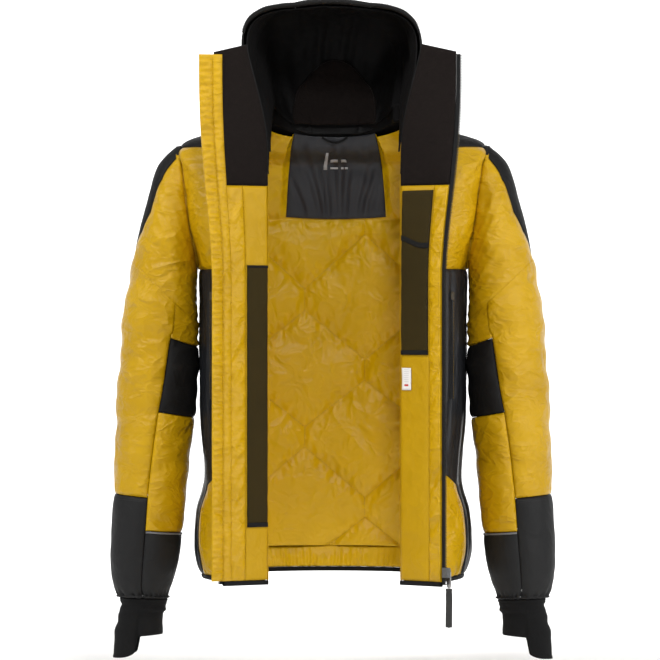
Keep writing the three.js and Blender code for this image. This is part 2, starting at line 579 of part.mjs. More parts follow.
function addHood() {
  const e = 0.016;
  const sideColumns = spread(1 + e, 2, 8);
  const rows = [0.08, 0.6, 1.2, 1.8, 2.4, 2.9, 3.3, 3.7, 4.1, 4.5, 5];
  const hood = (name, columns, levels, from, to, finish) => {
    const patch = (p, q) => [columns[Math.round(p * (columns.length - 1))], levels(p, q)];
    const grid = { cols: columns.length - 1, rows: rows.length - 1, from, to, side: -1 };
    add(name, panel(hoodSurface, patch, grid), finish);
  };
  const level = (p, q) => rows[Math.round(q * (rows.length - 1))];
  hood('hood_crown', spread(-1 + e, 1 - e, 4), level, 0, -SHELL, 'black');
  for (const { name, k } of FRONTS) {
    hood(`${name}_hood_side`, sideColumns.map((r) => k * r), level, 0, -SHELL, 'black');
  }
  const deep = SHELL + LAYER_GAP;
  const inward = [...sideColumns.slice(0, -1), 1.92];
  const all = [...inward.map((r) => -r).reverse(), -0.5, 0, 0.5, ...inward];
  const shy = (p, q) => min(level(p, q), 4.85);
  hood('hood_lining', all, shy, -deep, -deep - LINING, 'black');
  const neckColumns = all.filter((r) => abs(r) < 1.65);
  const neckPatch = (p, q) => {
    const r = neckColumns[Math.round(p * (neckColumns.length - 1))];
    return [r, mix(mix(3.5, 4.7, (r / 1.65) ** 2), 4.85, q)];
  };
  const neck = { cols: neckColumns.length - 1, rows: 4, from: -deep - LINING - 1.7, side: -1 };
  add('neck_facing', panel(hoodSurface, neckPatch, { ...neck, to: neck.from - LINING }), 'fleece');
  // the brim is a doubled band sewn round the opening
  const brim = (r, v) => hoodSurface(r, 0.07).add(new THREE.Vector3(0, -SEAM - v, 0.12 * v));
  add('hood_brim', panel(brim, between(-1.36, 1.36, 0, 15), { cols: 20, rows: 1, from: 1, to: -5.4, side: -1 }), 'black');
}

// ---------- the sleeves ----------
// Rings from the armhole to the cuff: how far the outer edge is beyond the shoulder's tip and its height, how
// far the inner edge is beyond the armpit and its height, the half depth and the shift forward.
const ARM_RINGS = [
  [0.8, -SHOULDER_DROP, 3.8, -CHEST_DROP, 57, 0],
  [33, -50, 6, -236, 72, 0],
  [51, -109, 6, -262, 76, 0],
  [71, -190, 4, -293, 74, 0],
  [87, -290, 3, -331, 70, 2],
  [95, -391, 5, -414, 65, 5],
  [99, -491, 17, -507, 61, 9],
  [104, -600, 26, -608, 56, 13],
  [106, -662, 34, -668, 52, 16],
  [101, 16 - CUFF_DROP, 46, 12 - CUFF_DROP, 44, 18],
  [95, -CUFF_DROP, 48, -CUFF_DROP - 2, 38, 19],
];
const WRIST_RINGS = [
  [94, -CUFF_DROP - 0.7, 49, -CUFF_DROP - 2.7, 37, 19],
  [93, -CUFF_DROP - 16, 51, -CUFF_DROP - 15, 33, 19],
  [100, -CUFF_DROP - 44, 56, -CUFF_DROP - 36, 33, 20],
  [105, -CUFF_DROP - 94, 56, -CUFF_DROP - 70, 34, 22],
];

/** A tube through a list of rings: u is the turn in quarters from the body side by the front, v the ring. */
function tube(rings, k) {
  const column = rings[0].map((_, i) => rings.map((r) => r[i]));
  return (u, v) => {
    const [ox, oz, ix, iz, depth, shift] = column.map((values) => spline(values, v));
    const f = (1 + cos(u * 90 * DEG)) / 2;
    const y = -depth * sin(u * 90 * DEG) - shift;
    return new THREE.Vector3(k * mix(SHOULDER_HALF + ox, CHEST_HALF + ix, f), y, mix(oz, iz, f));
  };
}

const UPPER_END = 3.1; // the sleeve above this ring bends when the arm is raised
const INNER_END = 4;
const ELBOW_END = 5.3;
const GUARD_TOP = 6.6;
const CUFF_TOP = 7.15;
const SLEEVE_END = 10;
const CAP_SEAM = 0.78; // where the cap's longer inner part ends, in quarters of a turn
const frontSeam = (t) => steps([[3, CAP_SEAM], [4, CAP_SEAM], [5.3, 0.92], [6.5, 0.99], [8, 0.99], [10, 0.95]], t);
const strapEdge = (t) => steps([[0, 1.66], [1, 1.56], [2, 1.62], [3.05, 1.92]], t);

function addSleeve({ name, k }) {
  const arm = tube(ARM_RINGS, k);
  const g = 0.006; // the seam gap as a share of a quarter turn
  const h = 0.005; // the seam gap as a share of the way between two rings
  const make = (part, patch, cols, rows, finish) =>
    add(`${name}_${part}`, panel(arm, patch, { cols, rows, side: k }), finish);
  const strapRows = spread(0, UPPER_END, 6).map((t) => min(t, UPPER_END - 0.05));
  make('shoulder_strap', bands((t) => strapEdge(t) + g, (t) => 4 - strapEdge(t) - g, strapRows), 4, 6, 'black');
  // the cap goes round from one edge of the strap to the other, and is longer on the body side
  const inside = (CAP_SEAM - g) / strapEdge(UPPER_END);
  const half = [0, 0.14, 0.27, inside, inside + g, 0.5, 0.62, 0.75, 0.87, 1];
  const turns = [...half.slice(1).map((x) => -x).reverse(), ...half];
  const cap = (p, q) => {
    const turn = turns[Math.round(p * (turns.length - 1))];
    const end = abs(turn) < inside + g / 2 ? INNER_END : UPPER_END;
    const t = mix(0, end - h, q);
    return [turn * (strapEdge(min(t, UPPER_END)) - g), t];
  };
  make('sleeve_cap', cap, turns.length - 1, 6, 'mustard');
  const outside = (v0, v1) => between((t) => frontSeam(t) + g, (t) => 4 - frontSeam(t) - g, v0, v1);
  const inner = (v0, v1) => between((t) => -frontSeam(t) + g, (t) => frontSeam(t) - g, v0, v1);
  make('outer_sleeve', outside(UPPER_END + h, GUARD_TOP - h), 10, 6, 'mustard');
  make('elbow_insert', inner(INNER_END + h, ELBOW_END - h), 8, 4, 'black');
  make('forearm', inner(ELBOW_END + h, CUFF_TOP - h), 8, 5, 'mustard');
  make('forearm_guard', outside(GUARD_TOP + h, SLEEVE_END), 10, 5, 'black');
  make('cuff_panel', inner(CUFF_TOP + h, SLEEVE_END), 8, 5, 'charcoal');
  const wrist = tube(WRIST_RINGS, k);
  add(`${name}_wrist_gaiter`, panel(wrist, between(0, 4, 0, 3), { cols: 16, rows: 4, side: k, ring: true }), 'knit');
}

addBody();
addHangerLoop();
addPocketZips();
FRONTS.forEach(addFront);
addSlider();
addHood();
FRONTS.forEach(addSleeve);

export default jacket;
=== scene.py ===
"""A lightly insulated hooded jacket, standing as worn, unzipped, with both fronts turned back."""
import bpy
import math
import numpy as np
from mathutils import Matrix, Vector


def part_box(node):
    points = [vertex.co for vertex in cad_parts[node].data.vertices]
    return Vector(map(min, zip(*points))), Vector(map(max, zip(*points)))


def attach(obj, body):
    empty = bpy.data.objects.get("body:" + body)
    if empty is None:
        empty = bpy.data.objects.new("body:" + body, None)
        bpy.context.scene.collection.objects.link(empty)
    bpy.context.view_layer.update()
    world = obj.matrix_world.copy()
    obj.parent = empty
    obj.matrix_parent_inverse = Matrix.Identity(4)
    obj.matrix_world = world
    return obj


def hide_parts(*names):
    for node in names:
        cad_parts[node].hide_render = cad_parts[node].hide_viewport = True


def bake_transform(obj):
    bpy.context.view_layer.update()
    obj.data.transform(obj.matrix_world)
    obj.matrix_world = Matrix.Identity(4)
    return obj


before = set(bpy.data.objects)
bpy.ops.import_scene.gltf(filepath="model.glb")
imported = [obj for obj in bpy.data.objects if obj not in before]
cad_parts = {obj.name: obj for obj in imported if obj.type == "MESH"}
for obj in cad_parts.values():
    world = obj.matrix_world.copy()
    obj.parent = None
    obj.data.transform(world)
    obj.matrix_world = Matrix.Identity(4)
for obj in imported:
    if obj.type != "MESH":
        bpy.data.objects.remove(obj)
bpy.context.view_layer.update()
MM = 0.001
PI = math.pi

# ---------- sizes, in millimetres, the same as the solid model's ----------
SHELL, LINING, FACING = 2.4, 1.4, 1.2
LAYER_GAP, CLOSE_GAP = 2.2, 0.9
WALL = SHELL + LAYER_GAP + LINING + CLOSE_GAP + FACING
INSIDE = -SHELL - LAYER_GAP  # the hidden face of the lining
NECK_BACK, NECK_DROP, SHOULDER_DROP = 62, 84, 17
HEM_DROP, FRONT_HEM, CHEST_DROP = 690, 696, 211
FRONT_DEPTH = 116
CORD = 3
WING_TOP, WING_TOP_INNER = 121, 141
HINGE_R = 1.5
BINDING = 7
CUFF_DROP = 720
HOOD_TOP = 205
HOOD_SEAM = 2.4
FRONTS = {
    "right": dict(k=-1, fold=96, width=94, tilt=40, top_tilt=17),
    "left": dict(k=1, fold=110, width=98, tilt=44, top_tilt=17),
}


# ---------- small helpers ----------
def mix(a, b, f):
    return a + (b - a) * f


def smooth(a, b, x):
    f = np.clip((x - a) / (b - a), 0, 1)
    return f * f * (3 - 2 * f)


def spline(values, x):
    """A smooth curve through equally spaced values."""
    v = np.asarray(values, float)
    last = len(v) - 1
    i = np.clip(np.floor(x).astype(int), 0, last - 1)
    f = np.clip(x - i, 0, 1)
    p1, p2 = v[i], v[i + 1]
    p0 = np.where(i > 0, v[np.maximum(i - 1, 0)], 2 * p1 - p2)
    p3 = np.where(i + 2 <= last, v[np.minimum(i + 2, last)], 2 * p2 - p1)
    return p1 + 0.5 * f * (p2 - p0 + f * (2 * p0 - 5 * p1 + 4 * p2 - p3 + f * (3 * (p1 - p2) + p3 - p0)))


def steps(pairs):
    """Straight lines through (x, y) pairs, as a function."""
    xs, ys = zip(*pairs)
    return lambda x: np.interp(x, xs, ys)


def point(x, y, z):
    return np.stack(np.broadcast_arrays(x, y, z), -1).astype(float)


def unit(v):
    return v / np.maximum(np.linalg.norm(v, axis=-1, keepdims=True), 1e-9)


def blur(a, times, wrap=False):
    """Evens a grid of values out, keeping its edges."""
    for _ in range(times):
        for axis in (0, 1):
            if wrap and axis == 1:
                a = (np.roll(a, 1, 1) + 2 * a + np.roll(a, -1, 1)) / 4
            else:
                p = np.pad(a, [(1, 1) if k == axis else (0, 0) for k in (0, 1)], mode="edge")
                low, high = (p[:-2], p[2:]) if axis == 0 else (p[:, :-2], p[:, 2:])
                a = (low + 2 * a + high) / 4
    return a


def near_line(points, line):
    """How far each (x, z) point lies from a chain of straight stitch lines."""
    best = np.full(points.shape[:-1], 1e9)
    for a, b in zip(line[:-1], line[1:]):
        a, b = np.asarray(a, float), np.asarray(b, float)
        d = b - a
        t = np.clip(((points - a) @ d) / (d @ d), 0, 1)
        best = np.minimum(best, np.linalg.norm(points - a - t[..., None] * d, axis=-1))
    return best


# ---------- the surfaces the cloth lies on ----------
class Surface:
    """A surface at(u, v) with an outward side."""

    def __init__(self, at, side=1):
        self.at, self.side = at, side

    def normal(self, u, v):
        h = 1e-3
        du = self.at(u + h, v) - self.at(u - h, v)
        dv = self.at(u, v + h) - self.at(u, v - h)
        return unit(np.cross(dv, du)) * self.side

    def lifted(self, u, v, lift):
        return self.at(u, v) + self.normal(u, v) * np.asarray(lift)[..., None]


SIDE = [-HEM_DROP, -640, -588, -532, -436, -325, -CHEST_DROP, -136, -72, -38, -SHOULDER_DROP, 4, 24]
FOLD = [-FRONT_HEM, -640, -588, -532, -436, -325, -CHEST_DROP, -172, -148, -130, -112, -97, -NECK_DROP]
BACK = [-HEM_DROP + 5, -636, -586, -532, -436, -325, -CHEST_DROP, -160, -110, -70, -40, -18, 0]
HALF = [203, 213, 210, 197, 204, 205, 208, 232, 239, 240, 237, 170, 98]
DEEP = [112, 119, 118, 113, 118, 121, 122, 122, 118, 110, 103, NECK_BACK + WALL + 7, NECK_BACK + WALL + CORD / 2 + 0.5]
CHEST, SHOULDER, NECK = 6, 10, 12


def torso_at(c, s):
    c, s = np.broadcast_arrays(np.asarray(c, float), np.asarray(s, float))
    side, fold, back, half, deep = (spline(v, s) for v in (SIDE, FOLD, BACK, HALF, DEEP))
    k = np.where(c < 0, -1, 1)
    u = abs(c)
    b = (1 - u) * PI / 2
    x = half * np.cos(b) * (1 + 0.12 * np.sin(b) ** 2)
    y = deep * np.sin(b) * (1 + 0.1 * np.cos(b) ** 2)
    z = mix(side, back, np.sin(b) ** 2)
    start = np.where(k < 0, FRONTS["right"]["fold"], FRONTS["left"]["fold"]) + 1
    a = (2 - u) * PI / 2
    fx = start + (np.maximum(half, start + 1) - start) * np.sin(a)
    fy = -(FRONT_DEPTH - 2) * np.cos(a) * (1 + 0.15 * np.sin(a) ** 2)
    fz = mix(side, fold, np.cos(a) ** 2)
    behind = u <= 1
    return point(k * np.where(behind, x, fx), np.where(behind, y, fy) - NECK_BACK, np.where(behind, z, fz))


torso = Surface(torso_at)
lining_side = Surface(torso_at, -1)  # the same surface, seen from inside the jacket


def ring_for(z):
    """The ring whose height at the side seam is z, below the chest."""
    s = np.linspace(0, CHEST, 600)
    return np.interp(z, spline(SIDE, s), s)


def front_surface(f):
    def at(u, z):
        u, z = np.broadcast_arrays(np.asarray(u, float), np.asarray(z, float))
        a = mix(f["tilt"], f["top_tilt"], smooth(-230, 90, z)) * PI / 180
        return point(f["k"] * (f["fold"] + u * np.cos(a)), -FRONT_DEPTH - NECK_BACK - u * np.sin(a), z)

    return Surface(at, -f["k"])


RIB_Y = [-108, -45, 20, 72, 88, NECK_BACK + 3]
RIB_Z = [HOOD_TOP - 5, HOOD_TOP, HOOD_TOP - 7, 155, 80, 2]
RIB_WIDE = [55, 58, 58, 54, 48, 38]
RIB_START = [1.75, 1.62, 1.26, 0.92, 0.62, 0.42]
RIB_RISE = [143, 80, 60, 45, 26, 4]
RIB_BULGE = [150, 128, 105, 72, 38, 8]


def hood_at(r, t):
    r, t = np.broadcast_arrays(np.asarray(r, float), np.asarray(t, float))
    y, z, wide, start, rise, bulge = (spline(v, t) for v in (RIB_Y, RIB_Z, RIB_WIDE, RIB_START, RIB_RISE, RIB_BULGE))
    k = np.where(r < 0, -1, 1)
    drop = 5 * smooth(0, 1, 1 - t / 5)
    over = point(r * wide, y - 3 * r * r - NECK_BACK, z - drop * r * r)
    q = np.clip(abs(r) - 1, 0, 1)[..., None]
    top = point(k * wide, y - 3 - NECK_BACK, z - drop)
    foot = torso_at(k * start, np.full(r.shape, float(NECK))) + point(0 * r, 0 * r, 0 * r + HOOD_SEAM)
    near_top = top + point(k * bulge, 0 * r - 4, -4 * (1 - t / 5))
    near_foot = foot + point(k * 6, 0 * r, rise)
    curve = (1 - q) ** 3 * top + 3 * q * (1 - q) ** 2 * near_top + 3 * q * q * (1 - q) * near_foot + q ** 3 * foot
    return np.where((abs(r) <= 1)[..., None], over, curve)


hood = Surface(hood_at, -1)
hood_inside = Surface(hood_at)

ARM = [
    [237.8, -17, 211.8, -211, 57, 0], [270, -50, 214, -236, 72, 0], [288, -109, 214, -262, 76, 0],
    [308, -190, 212, -293, 74, 0], [324, -290, 211, -331, 70, 2], [332, -391, 213, -414, 65, 5],
    [336, -491, 225, -507, 61, 9], [341, -600, 234, -608, 56, 13], [343, -662, 242, -668, 52, 16],
    [338, -704, 254, -708, 44, 18], [332, -CUFF_DROP, 256, -CUFF_DROP - 2, 38, 19],
]
WRIST = [
    [331, -CUFF_DROP - 0.7, 257, -CUFF_DROP - 2.7, 37, 19], [330, -736, 259, -735, 33, 19],
    [337, -764, 264, -756, 33, 20], [342, -814, 264, -813, 34, 22],
]


def tube(rings, k):
    columns = np.array(rings, float).T

    def at(u, v):
        u, v = np.broadcast_arrays(np.asarray(u, float), np.asarray(v, float))
        ox, oz, ix, iz, depth, shift = (spline(c, v) for c in columns)
        f = (1 + np.cos(u * PI / 2)) / 2
        y = -depth * np.sin(u * PI / 2) - shift - NECK_BACK
        return point(k * mix(ox, ix, f), y, mix(oz, iz, f))

    return Surface(at, k)


# ---------- wrinkles, by cloth simulation ----------
class Drape:
    """Cloth sewn down along lines and a little too large for its place, so that it wrinkles between them."""

    made = []

    def __init__(self, surface, us, vs, sewn, spare, puff, seed, even=2, limit=9):
        self.us, self.vs, self.spare, self.even, self.limit = np.asarray(us, float), np.asarray(vs, float), spare, even, limit
        u, v = np.meshgrid(self.us, self.vs)
        self.flat = surface.at(u, v)
        self.normals = surface.normal(u, v)
        self.sewn = sewn(u, v, self.flat)
        self.sewn[0] = self.sewn[-1] = True
        self.sewn[:, 0] = self.sewn[:, -1] = True
        dome = np.zeros(u.shape)
        for _ in range(60):
            dome = np.where(self.sewn, 0, np.minimum(blur(dome, 1) + 0.09, 1))
        noise = blur(np.random.default_rng(seed).normal(size=u.shape), 2)
        self.start = dome * puff + np.where(self.sewn, 0, noise) * 1.1
        self.value = self.start
        Drape.made.append(self)

    def __call__(self, u, v):
        """How far the cloth stands off its surface at (u, v), in millimetres."""
        x = np.interp(u, self.us, np.arange(len(self.us)))
        y = np.interp(v, self.vs, np.arange(len(self.vs)))
        i = np.clip(x.astype(int), 0, len(self.us) - 2)
        j = np.clip(y.astype(int), 0, len(self.vs) - 2)
        fx, fy = x - i, y - j
        a = self.value
        low = mix(a[j, i], a[j, i + 1], fx)
        return mix(low, mix(a[j + 1, i], a[j + 1, i + 1], fx), fy)


def settle(drapes, frames=16):
    """Runs all the drapes as one cloth simulation and keeps how far each point moved off its surface."""
    corners, quads, sewn, spare = [], [], [], []
    count = 0
    for d in drapes:
        rows, cols = d.start.shape
        at = count + np.arange(rows * cols).reshape(rows, cols)
        quads.append(np.stack([at[:-1, :-1], at[:-1, 1:], at[1:, 1:], at[1:, :-1]], -1).reshape(-1, 4))
        corners.append(((d.flat + d.normals * d.start[..., None]) * MM).reshape(-1, 3))
        sewn.append(d.sewn.reshape(-1))
        spare.append(np.full(rows * cols, d.spare))
        count += rows * cols
    mesh = bpy.data.meshes.new("drapes")
    mesh.from_pydata(np.concatenate(corners), [], np.concatenate(quads).tolist())
    cloth = bpy.data.objects.new("drapes", mesh)
    bpy.context.scene.collection.objects.link(cloth)
    spare, sewn = np.concatenate(spare), np.concatenate(sewn)
    most = spare.max()
    held = cloth.vertex_groups.new(name="sewn")
    held.add(np.nonzero(sewn)[0].tolist(), 1.0, "REPLACE")
    grown = cloth.vertex_groups.new(name="spare")
    for amount in sorted(set(spare)):
        grown.add(np.nonzero(spare == amount)[0].tolist(), float(amount / most), "REPLACE")
    cloth_modifier = cloth.modifiers.new("cloth", "CLOTH")
    s = cloth_modifier.settings
    s.quality = 4
    s.mass = 0.12
    s.tension_stiffness = s.compression_stiffness = 25
    s.shear_stiffness = 12
    s.bending_stiffness = 0.25
    s.tension_damping = s.compression_damping = s.shear_damping = 8
    s.air_damping = 4
    s.effector_weights.gravity = 0
    s.vertex_group_mass = "sewn"
    s.vertex_group_shrink = "spare"
    s.shrink_min, s.shrink_max = 0.0, -most
    cloth_modifier.collision_settings.use_collision = False
    cloth_modifier.point_cache.frame_end = frames
    for number in range(1, frames + 1):
        bpy.context.scene.frame_set(number)
    eased = cloth.evaluated_get(bpy.context.evaluated_depsgraph_get()).data
    moved = np.empty(len(eased.vertices) * 3)
    eased.vertices.foreach_get("co", moved)
    moved = moved.reshape(-1, 3) / MM
    bpy.context.scene.frame_set(1)
    bpy.data.objects.remove(cloth)
    first = 0
    for d in drapes:
        size = d.start.size
        away = moved[first : first + size].reshape(*d.start.shape, 3) - d.flat
        off = np.clip((away * d.normals).sum(-1), -d.limit, d.limit)
        d.value = blur(off, d.even)
        first += size
    print("drapes", len(drapes), "points", count)


# ---------- cloth pieces ----------
def grid(u0, u1, v0, v1, cols, rows):
    """Parameters of a patch; a bound may be a number or a function of the other parameter."""
    q = np.linspace(0, 1, rows + 1)[:, None]
    p = np.linspace(0, 1, cols + 1)[None, :]
    v = mix(v0, v1, q) + 0 * p
    read = lambda bound: bound(v) if callable(bound) else bound + 0 * v
    return mix(read(u0), read(u1), p), v


def sheet_mesh(name, outer, inner, ring=False):
    """A closed sheet from two layers of points, with a texture map that runs in millimetres along the cloth."""
    rows, cols = outer.shape[:2]
    at = np.arange(rows * cols).reshape(rows, cols)
    if ring:
        at = np.concatenate([at, at[:, :1]], 1)
    a, b, c, d = at[:-1, :-1], at[:-1, 1:], at[1:, 1:], at[1:, :-1]
    faces = [np.stack([a, b, c, d], -1).reshape(-1, 4)]
    n = rows * cols
    faces.append(faces[0][:, ::-1] + n)
    rims = [at[0, ::-1], at[-1]] + ([] if ring else [at[:, 0], at[::-1, -1]])
    for rim in rims:
        faces.append(np.stack([rim[:-1], rim[:-1] + n, rim[1:] + n, rim[1:]], -1)[:, ::-1])
    faces = np.concatenate(faces)
    points = np.concatenate([outer.reshape(-1, 3), inner.reshape(-1, 3)])
    # faces turn outwards
    f = faces[: (rows - 1) * (at.shape[1] - 1)]
    away = (outer - inner).reshape(-1, 3)
    face_normal = np.cross(points[f[:, 2]] - points[f[:, 0]], points[f[:, 3]] - points[f[:, 1]])
    if (face_normal * away[f[:, 0]]).sum() < 0:
        faces = faces[:, ::-1]
    mesh = bpy.data.meshes.new(name)
    mesh.from_pydata((points * MM), [], faces.tolist())
    along = np.zeros((rows, cols))
    along[:, 1:] = np.cumsum(np.linalg.norm(np.diff(outer, axis=1), axis=-1), 1)
    along -= along[:, cols // 2 : cols // 2 + 1]
    up = np.zeros((rows, cols))
    up[1:] = np.cumsum(np.linalg.norm(np.diff(outer, axis=0), axis=-1), 0)
    flat = np.stack([along.reshape(-1), up.reshape(-1)], -1)
    flat = np.concatenate([flat, flat])
    loops = np.empty(len(mesh.loops), int)
    mesh.loops.foreach_get("vertex_index", loops)
    mesh.uv_layers.new(name="cloth").data.foreach_set("uv", (flat[loops] * 0.01).reshape(-1))
    # only the two faces of the cloth are shaded smooth, so that its cut edges stay crisp
    sides = 2 * (rows - 1) * (at.shape[1] - 1)
    mesh.polygons.foreach_set("use_smooth", np.arange(len(mesh.polygons)) < sides)
    mesh.update()
    piece = bpy.data.objects.new(name, mesh)
    bpy.context.scene.collection.objects.link(piece)
    return piece


def finish(piece, material, slot, body, *nodes):
    """Gives a piece its material, hides the CAD solids it stands for and parents it to the body it moves with; a piece
    on a joint only has its placement baked in. The slot is not used.
    """
    piece.data.materials.clear()
    piece.data.materials.append(material)
    if nodes:
        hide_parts(*nodes)
    if isinstance(body, str):
        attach(piece, body)
    else:
        first, second, start, end = body
        tuple(x * MM for x in start)
        tuple(x * MM for x in end)
        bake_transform(piece)
    return piece


def edge_distance(points, ring=False):
    """How far each point of a patch lies from the nearest edge of the patch, in millimetres."""
    up = np.concatenate([np.zeros((1, points.shape[1])), np.cumsum(np.linalg.norm(np.diff(points, axis=0), axis=-1), 0)])
    best = np.minimum(up, up[-1:] - up)
    if not ring:
        along = np.concatenate([np.zeros((points.shape[0], 1)), np.cumsum(np.linalg.norm(np.diff(points, axis=1), axis=-1), 1)], 1)
        best = np.minimum(best, np.minimum(along, along[:, -1:] - along))
    return best


def cloth(name, surface, patch, drape, thick, lift=0.0, tuck=1.2, puff=0.0, ring=False, relief=None, seamed=None):
    """
    A panel of cloth on a surface: it follows the drape's wrinkles, swells by puff and tucks in at its edges,
    except where seamed(u, v) says 0, because the cloth goes on there without a seam.
    """
    u, v = patch
    if ring:
        u, v = u[:, :-1], v[:, :-1]
    flat = surface.at(u, v)
    edge = edge_distance(flat, ring)
    if seamed is not None:
        edge = edge + 60 * (1 - seamed(u, v))
    off = lift + puff * (1 - np.exp(-edge / 9)) - tuck * np.exp(-edge / 2.2)
    if drape is not None:
        off = off + drape(u, v)
    if relief is not None:
        off = off + relief(u, v, flat, edge)
    normals = surface.normal(u, v)
    outer = flat + normals * off[..., None]
    inner = outer - normals * thick
    return sheet_mesh(name, outer, inner, ring)


# ---------- thread ----------
def threads(name, lines, thick=0.55, length=3.0, gap=1.3):
    """Stitches along lines of (points, normals), each stitch a small rounded bar."""
    points, faces = [], []
    for path, normals in lines:
        along = np.concatenate([[0], np.cumsum(np.linalg.norm(np.diff(path, axis=0), axis=-1))])
        starts = np.arange(0, along[-1] - length, length + gap)
        if not len(starts):
            continue
        at = lambda x, values: np.stack([np.interp(x, along, values[:, k]) for k in range(3)], -1)
        a, m, b = (at(starts + length * f, path) for f in (0, 0.5, 1))
        n = unit(at(starts + length / 2, normals))
        side = unit(np.cross(n, b - a)) * thick / 2
        rows = []
        for centre, scale, high in ((a, 0.5, -0.15), (m, 1, 0.3), (b, 0.5, -0.15)):
            centre = centre + n * high * thick
            up = n * thick / 2 * scale
            rows.append(np.stack([centre + side * scale, centre + up, centre - side * scale, centre - up], 1))
        block = np.stack(rows, 1)
        first = sum(len(p) for p in points)
        points.append(block.reshape(-1, 3))
        base = first + np.arange(len(starts))[:, None, None] * 12
        ring_faces = []
        for r in range(2):
            for k in range(4):
                ring_faces.append([4 * r + k, 4 * r + (k + 1) % 4, 4 * r + 4 + (k + 1) % 4, 4 * r + 4 + k])
        ring_faces += [[3, 2, 1, 0], [8, 9, 10, 11]]
        faces.append((base + np.array(ring_faces)[None]).reshape(-1, 4))
    mesh = bpy.data.meshes.new(name)
    mesh.from_pydata(np.concatenate(points) * MM, [], np.concatenate(faces).tolist())
    mesh.polygons.foreach_set("use_smooth", [True] * len(mesh.polygons))
    piece = bpy.data.objects.new(name, mesh)
    bpy.context.scene.collection.objects.link(piece)
    return piece


def seam_line(surface, u, v, drape, lift):
    """A line of thread over a surface: u and v are arrays of the same length."""
    u, v = np.broadcast_arrays(np.asarray(u, float), np.asarray(v, float))
    off = lift + (drape(u, v) if drape is not None else 0)
    n = surface.normal(u, v)
    return surface.at(u, v) + n * np.broadcast_to(off, u.shape)[..., None], n


# ---------- finishes ----------
class Value:
    """A number that varies over a surface: sums on it add Math nodes."""

    def __init__(self, make, socket):
        self.make, self.socket = make, socket

    def _maths(self, operation, a, b=None, clamp=False):
        values = {0: a} if b is None else {0: a, 1: b}
        return self.make.node("ShaderNodeMath", {"operation": operation, "use_clamp": clamp}, values)

    def __add__(self, other):
        return self._maths("ADD", self, other)

    def __sub__(self, other):
        return self._maths("SUBTRACT", self, other)

    def __rsub__(self, other):
        return self._maths("SUBTRACT", other, self)

    def __mul__(self, other):
        return self._maths("MULTIPLY", self, other)

    def __truediv__(self, other):
        return self._maths("DIVIDE", self, other)

    def __pow__(self, other):
        return self._maths("POWER", self, other)

    def __abs__(self):
        return self._maths("ABSOLUTE", self)

    def __mod__(self, other):
        return self._maths("FLOORED_MODULO", self, other)

    def sine(self):
        return self._maths("SINE", self)

    def below(self, limit):
        return self._maths("LESS_THAN", self, limit)

    def step(self, low, high):
        """0 below low, 1 above high, smooth between."""
        return self.make.node(
            "ShaderNodeMapRange", {"interpolation_type": "SMOOTHSTEP"},
            {"Value": self, "From Min": low, "From Max": high, "To Min": 0.0, "To Max": 1.0},
        )

    __radd__, __rmul__ = __add__, __mul__


class Finish:
    """A material: colour, gloss and relief are given as values, and end in one shader."""

    def __init__(self, name, **constant):
        self.material = bpy.data.materials.new(name)
        self.material.use_nodes = True
        self.tree = self.material.node_tree
        self.tree.nodes.clear()
        self.shader = self.tree.nodes.new("ShaderNodeBsdfPrincipled")
        end = self.tree.nodes.new("ShaderNodeOutputMaterial")
        self.tree.links.new(self.shader.outputs[0], end.inputs["Surface"])
        for key, value in constant.items():
            self.shader.inputs[key.replace("_", " ")].default_value = value

    def node(self, kind, settings, values, out=0):
        """Any node: its settings first, then the values or links of its sockets."""
        made = self.tree.nodes.new(kind)
        for key, value in settings.items():
            if key == "stops":
                ramp = made.color_ramp
                for place, colour in value[2:]:
                    ramp.elements.new(place)
                for element, (place, colour) in zip(ramp.elements, sorted(value)):
                    element.position, element.color = place, (*colour, 1)
            else:
                setattr(made, key, value)
        for key, value in values.items():
            socket = made.inputs[key]
            if isinstance(value, Value):
                self.tree.links.new(value.socket, socket)
            else:
                socket.default_value = value
        return Value(self, made.outputs[out])

    def set(self, name, value):
        self.tree.links.new(value.socket, self.shader.inputs[name])

    def cloth_place(self, scale=1.0):
        """The place on the cloth, in centimetres along it."""
        uv = self.node("ShaderNodeTexCoord", {}, {}, out="UV")
        return self.node("ShaderNodeVectorMath", {"operation": "SCALE"}, {0: uv, "Scale": scale * 10})

    def place(self, scale=(1, 1, 1)):
        """The place in space, in metres times scale."""
        here = self.node("ShaderNodeTexCoord", {}, {}, out="Object")
        return self.node("ShaderNodeVectorMath", {"operation": "MULTIPLY"}, {0: here, 1: scale})

    def noise(self, place, scale, detail=3.0, rough=0.55, distort=0.0):
        return self.node(
            "ShaderNodeTexNoise", {},
            {"Vector": place, "Scale": scale, "Detail": detail, "Roughness": rough, "Distortion": distort},
        )

    def axis(self, place, name):
        return self.node("ShaderNodeSeparateXYZ", {}, {0: place}, out=name)

    def ramp(self, value, *stops):
        return self.node("ShaderNodeValToRGB", {"stops": stops}, {0: value})

    def tint(self, factor, a, b):
        """A colour between a and b; either may be a colour or a link."""
        pick = lambda c: c if isinstance(c, Value) else (*c, 1)
        return self.node("ShaderNodeMix", {"data_type": "RGBA"}, {0: factor, 6: pick(a), 7: pick(b)}, out=2)

    def relief(self, height, depth, strength=1.0):
        """Bumps of the given depth in metres."""
        bump = self.tree.nodes.new("ShaderNodeBump")
        bump.inputs["Strength"].default_value = strength
        bump.inputs["Distance"].default_value = depth
        self.tree.links.new(height.socket, bump.inputs["Height"])
        self.tree.links.new(bump.outputs[0], self.shader.inputs["Normal"])


def creases(f, place, size):
    """Fine pressed creases, about size per metre."""
    first = abs(f.noise(place, size, 2.0, 0.5, 0.5) - 0.5)
    second = abs(f.noise(place, size * 0.5, 1.5, 0.5, 0.5) - 0.5)
    return (0.5 - first * 2.2) * 0.8 + (0.5 - second * 2.2) * 1.2


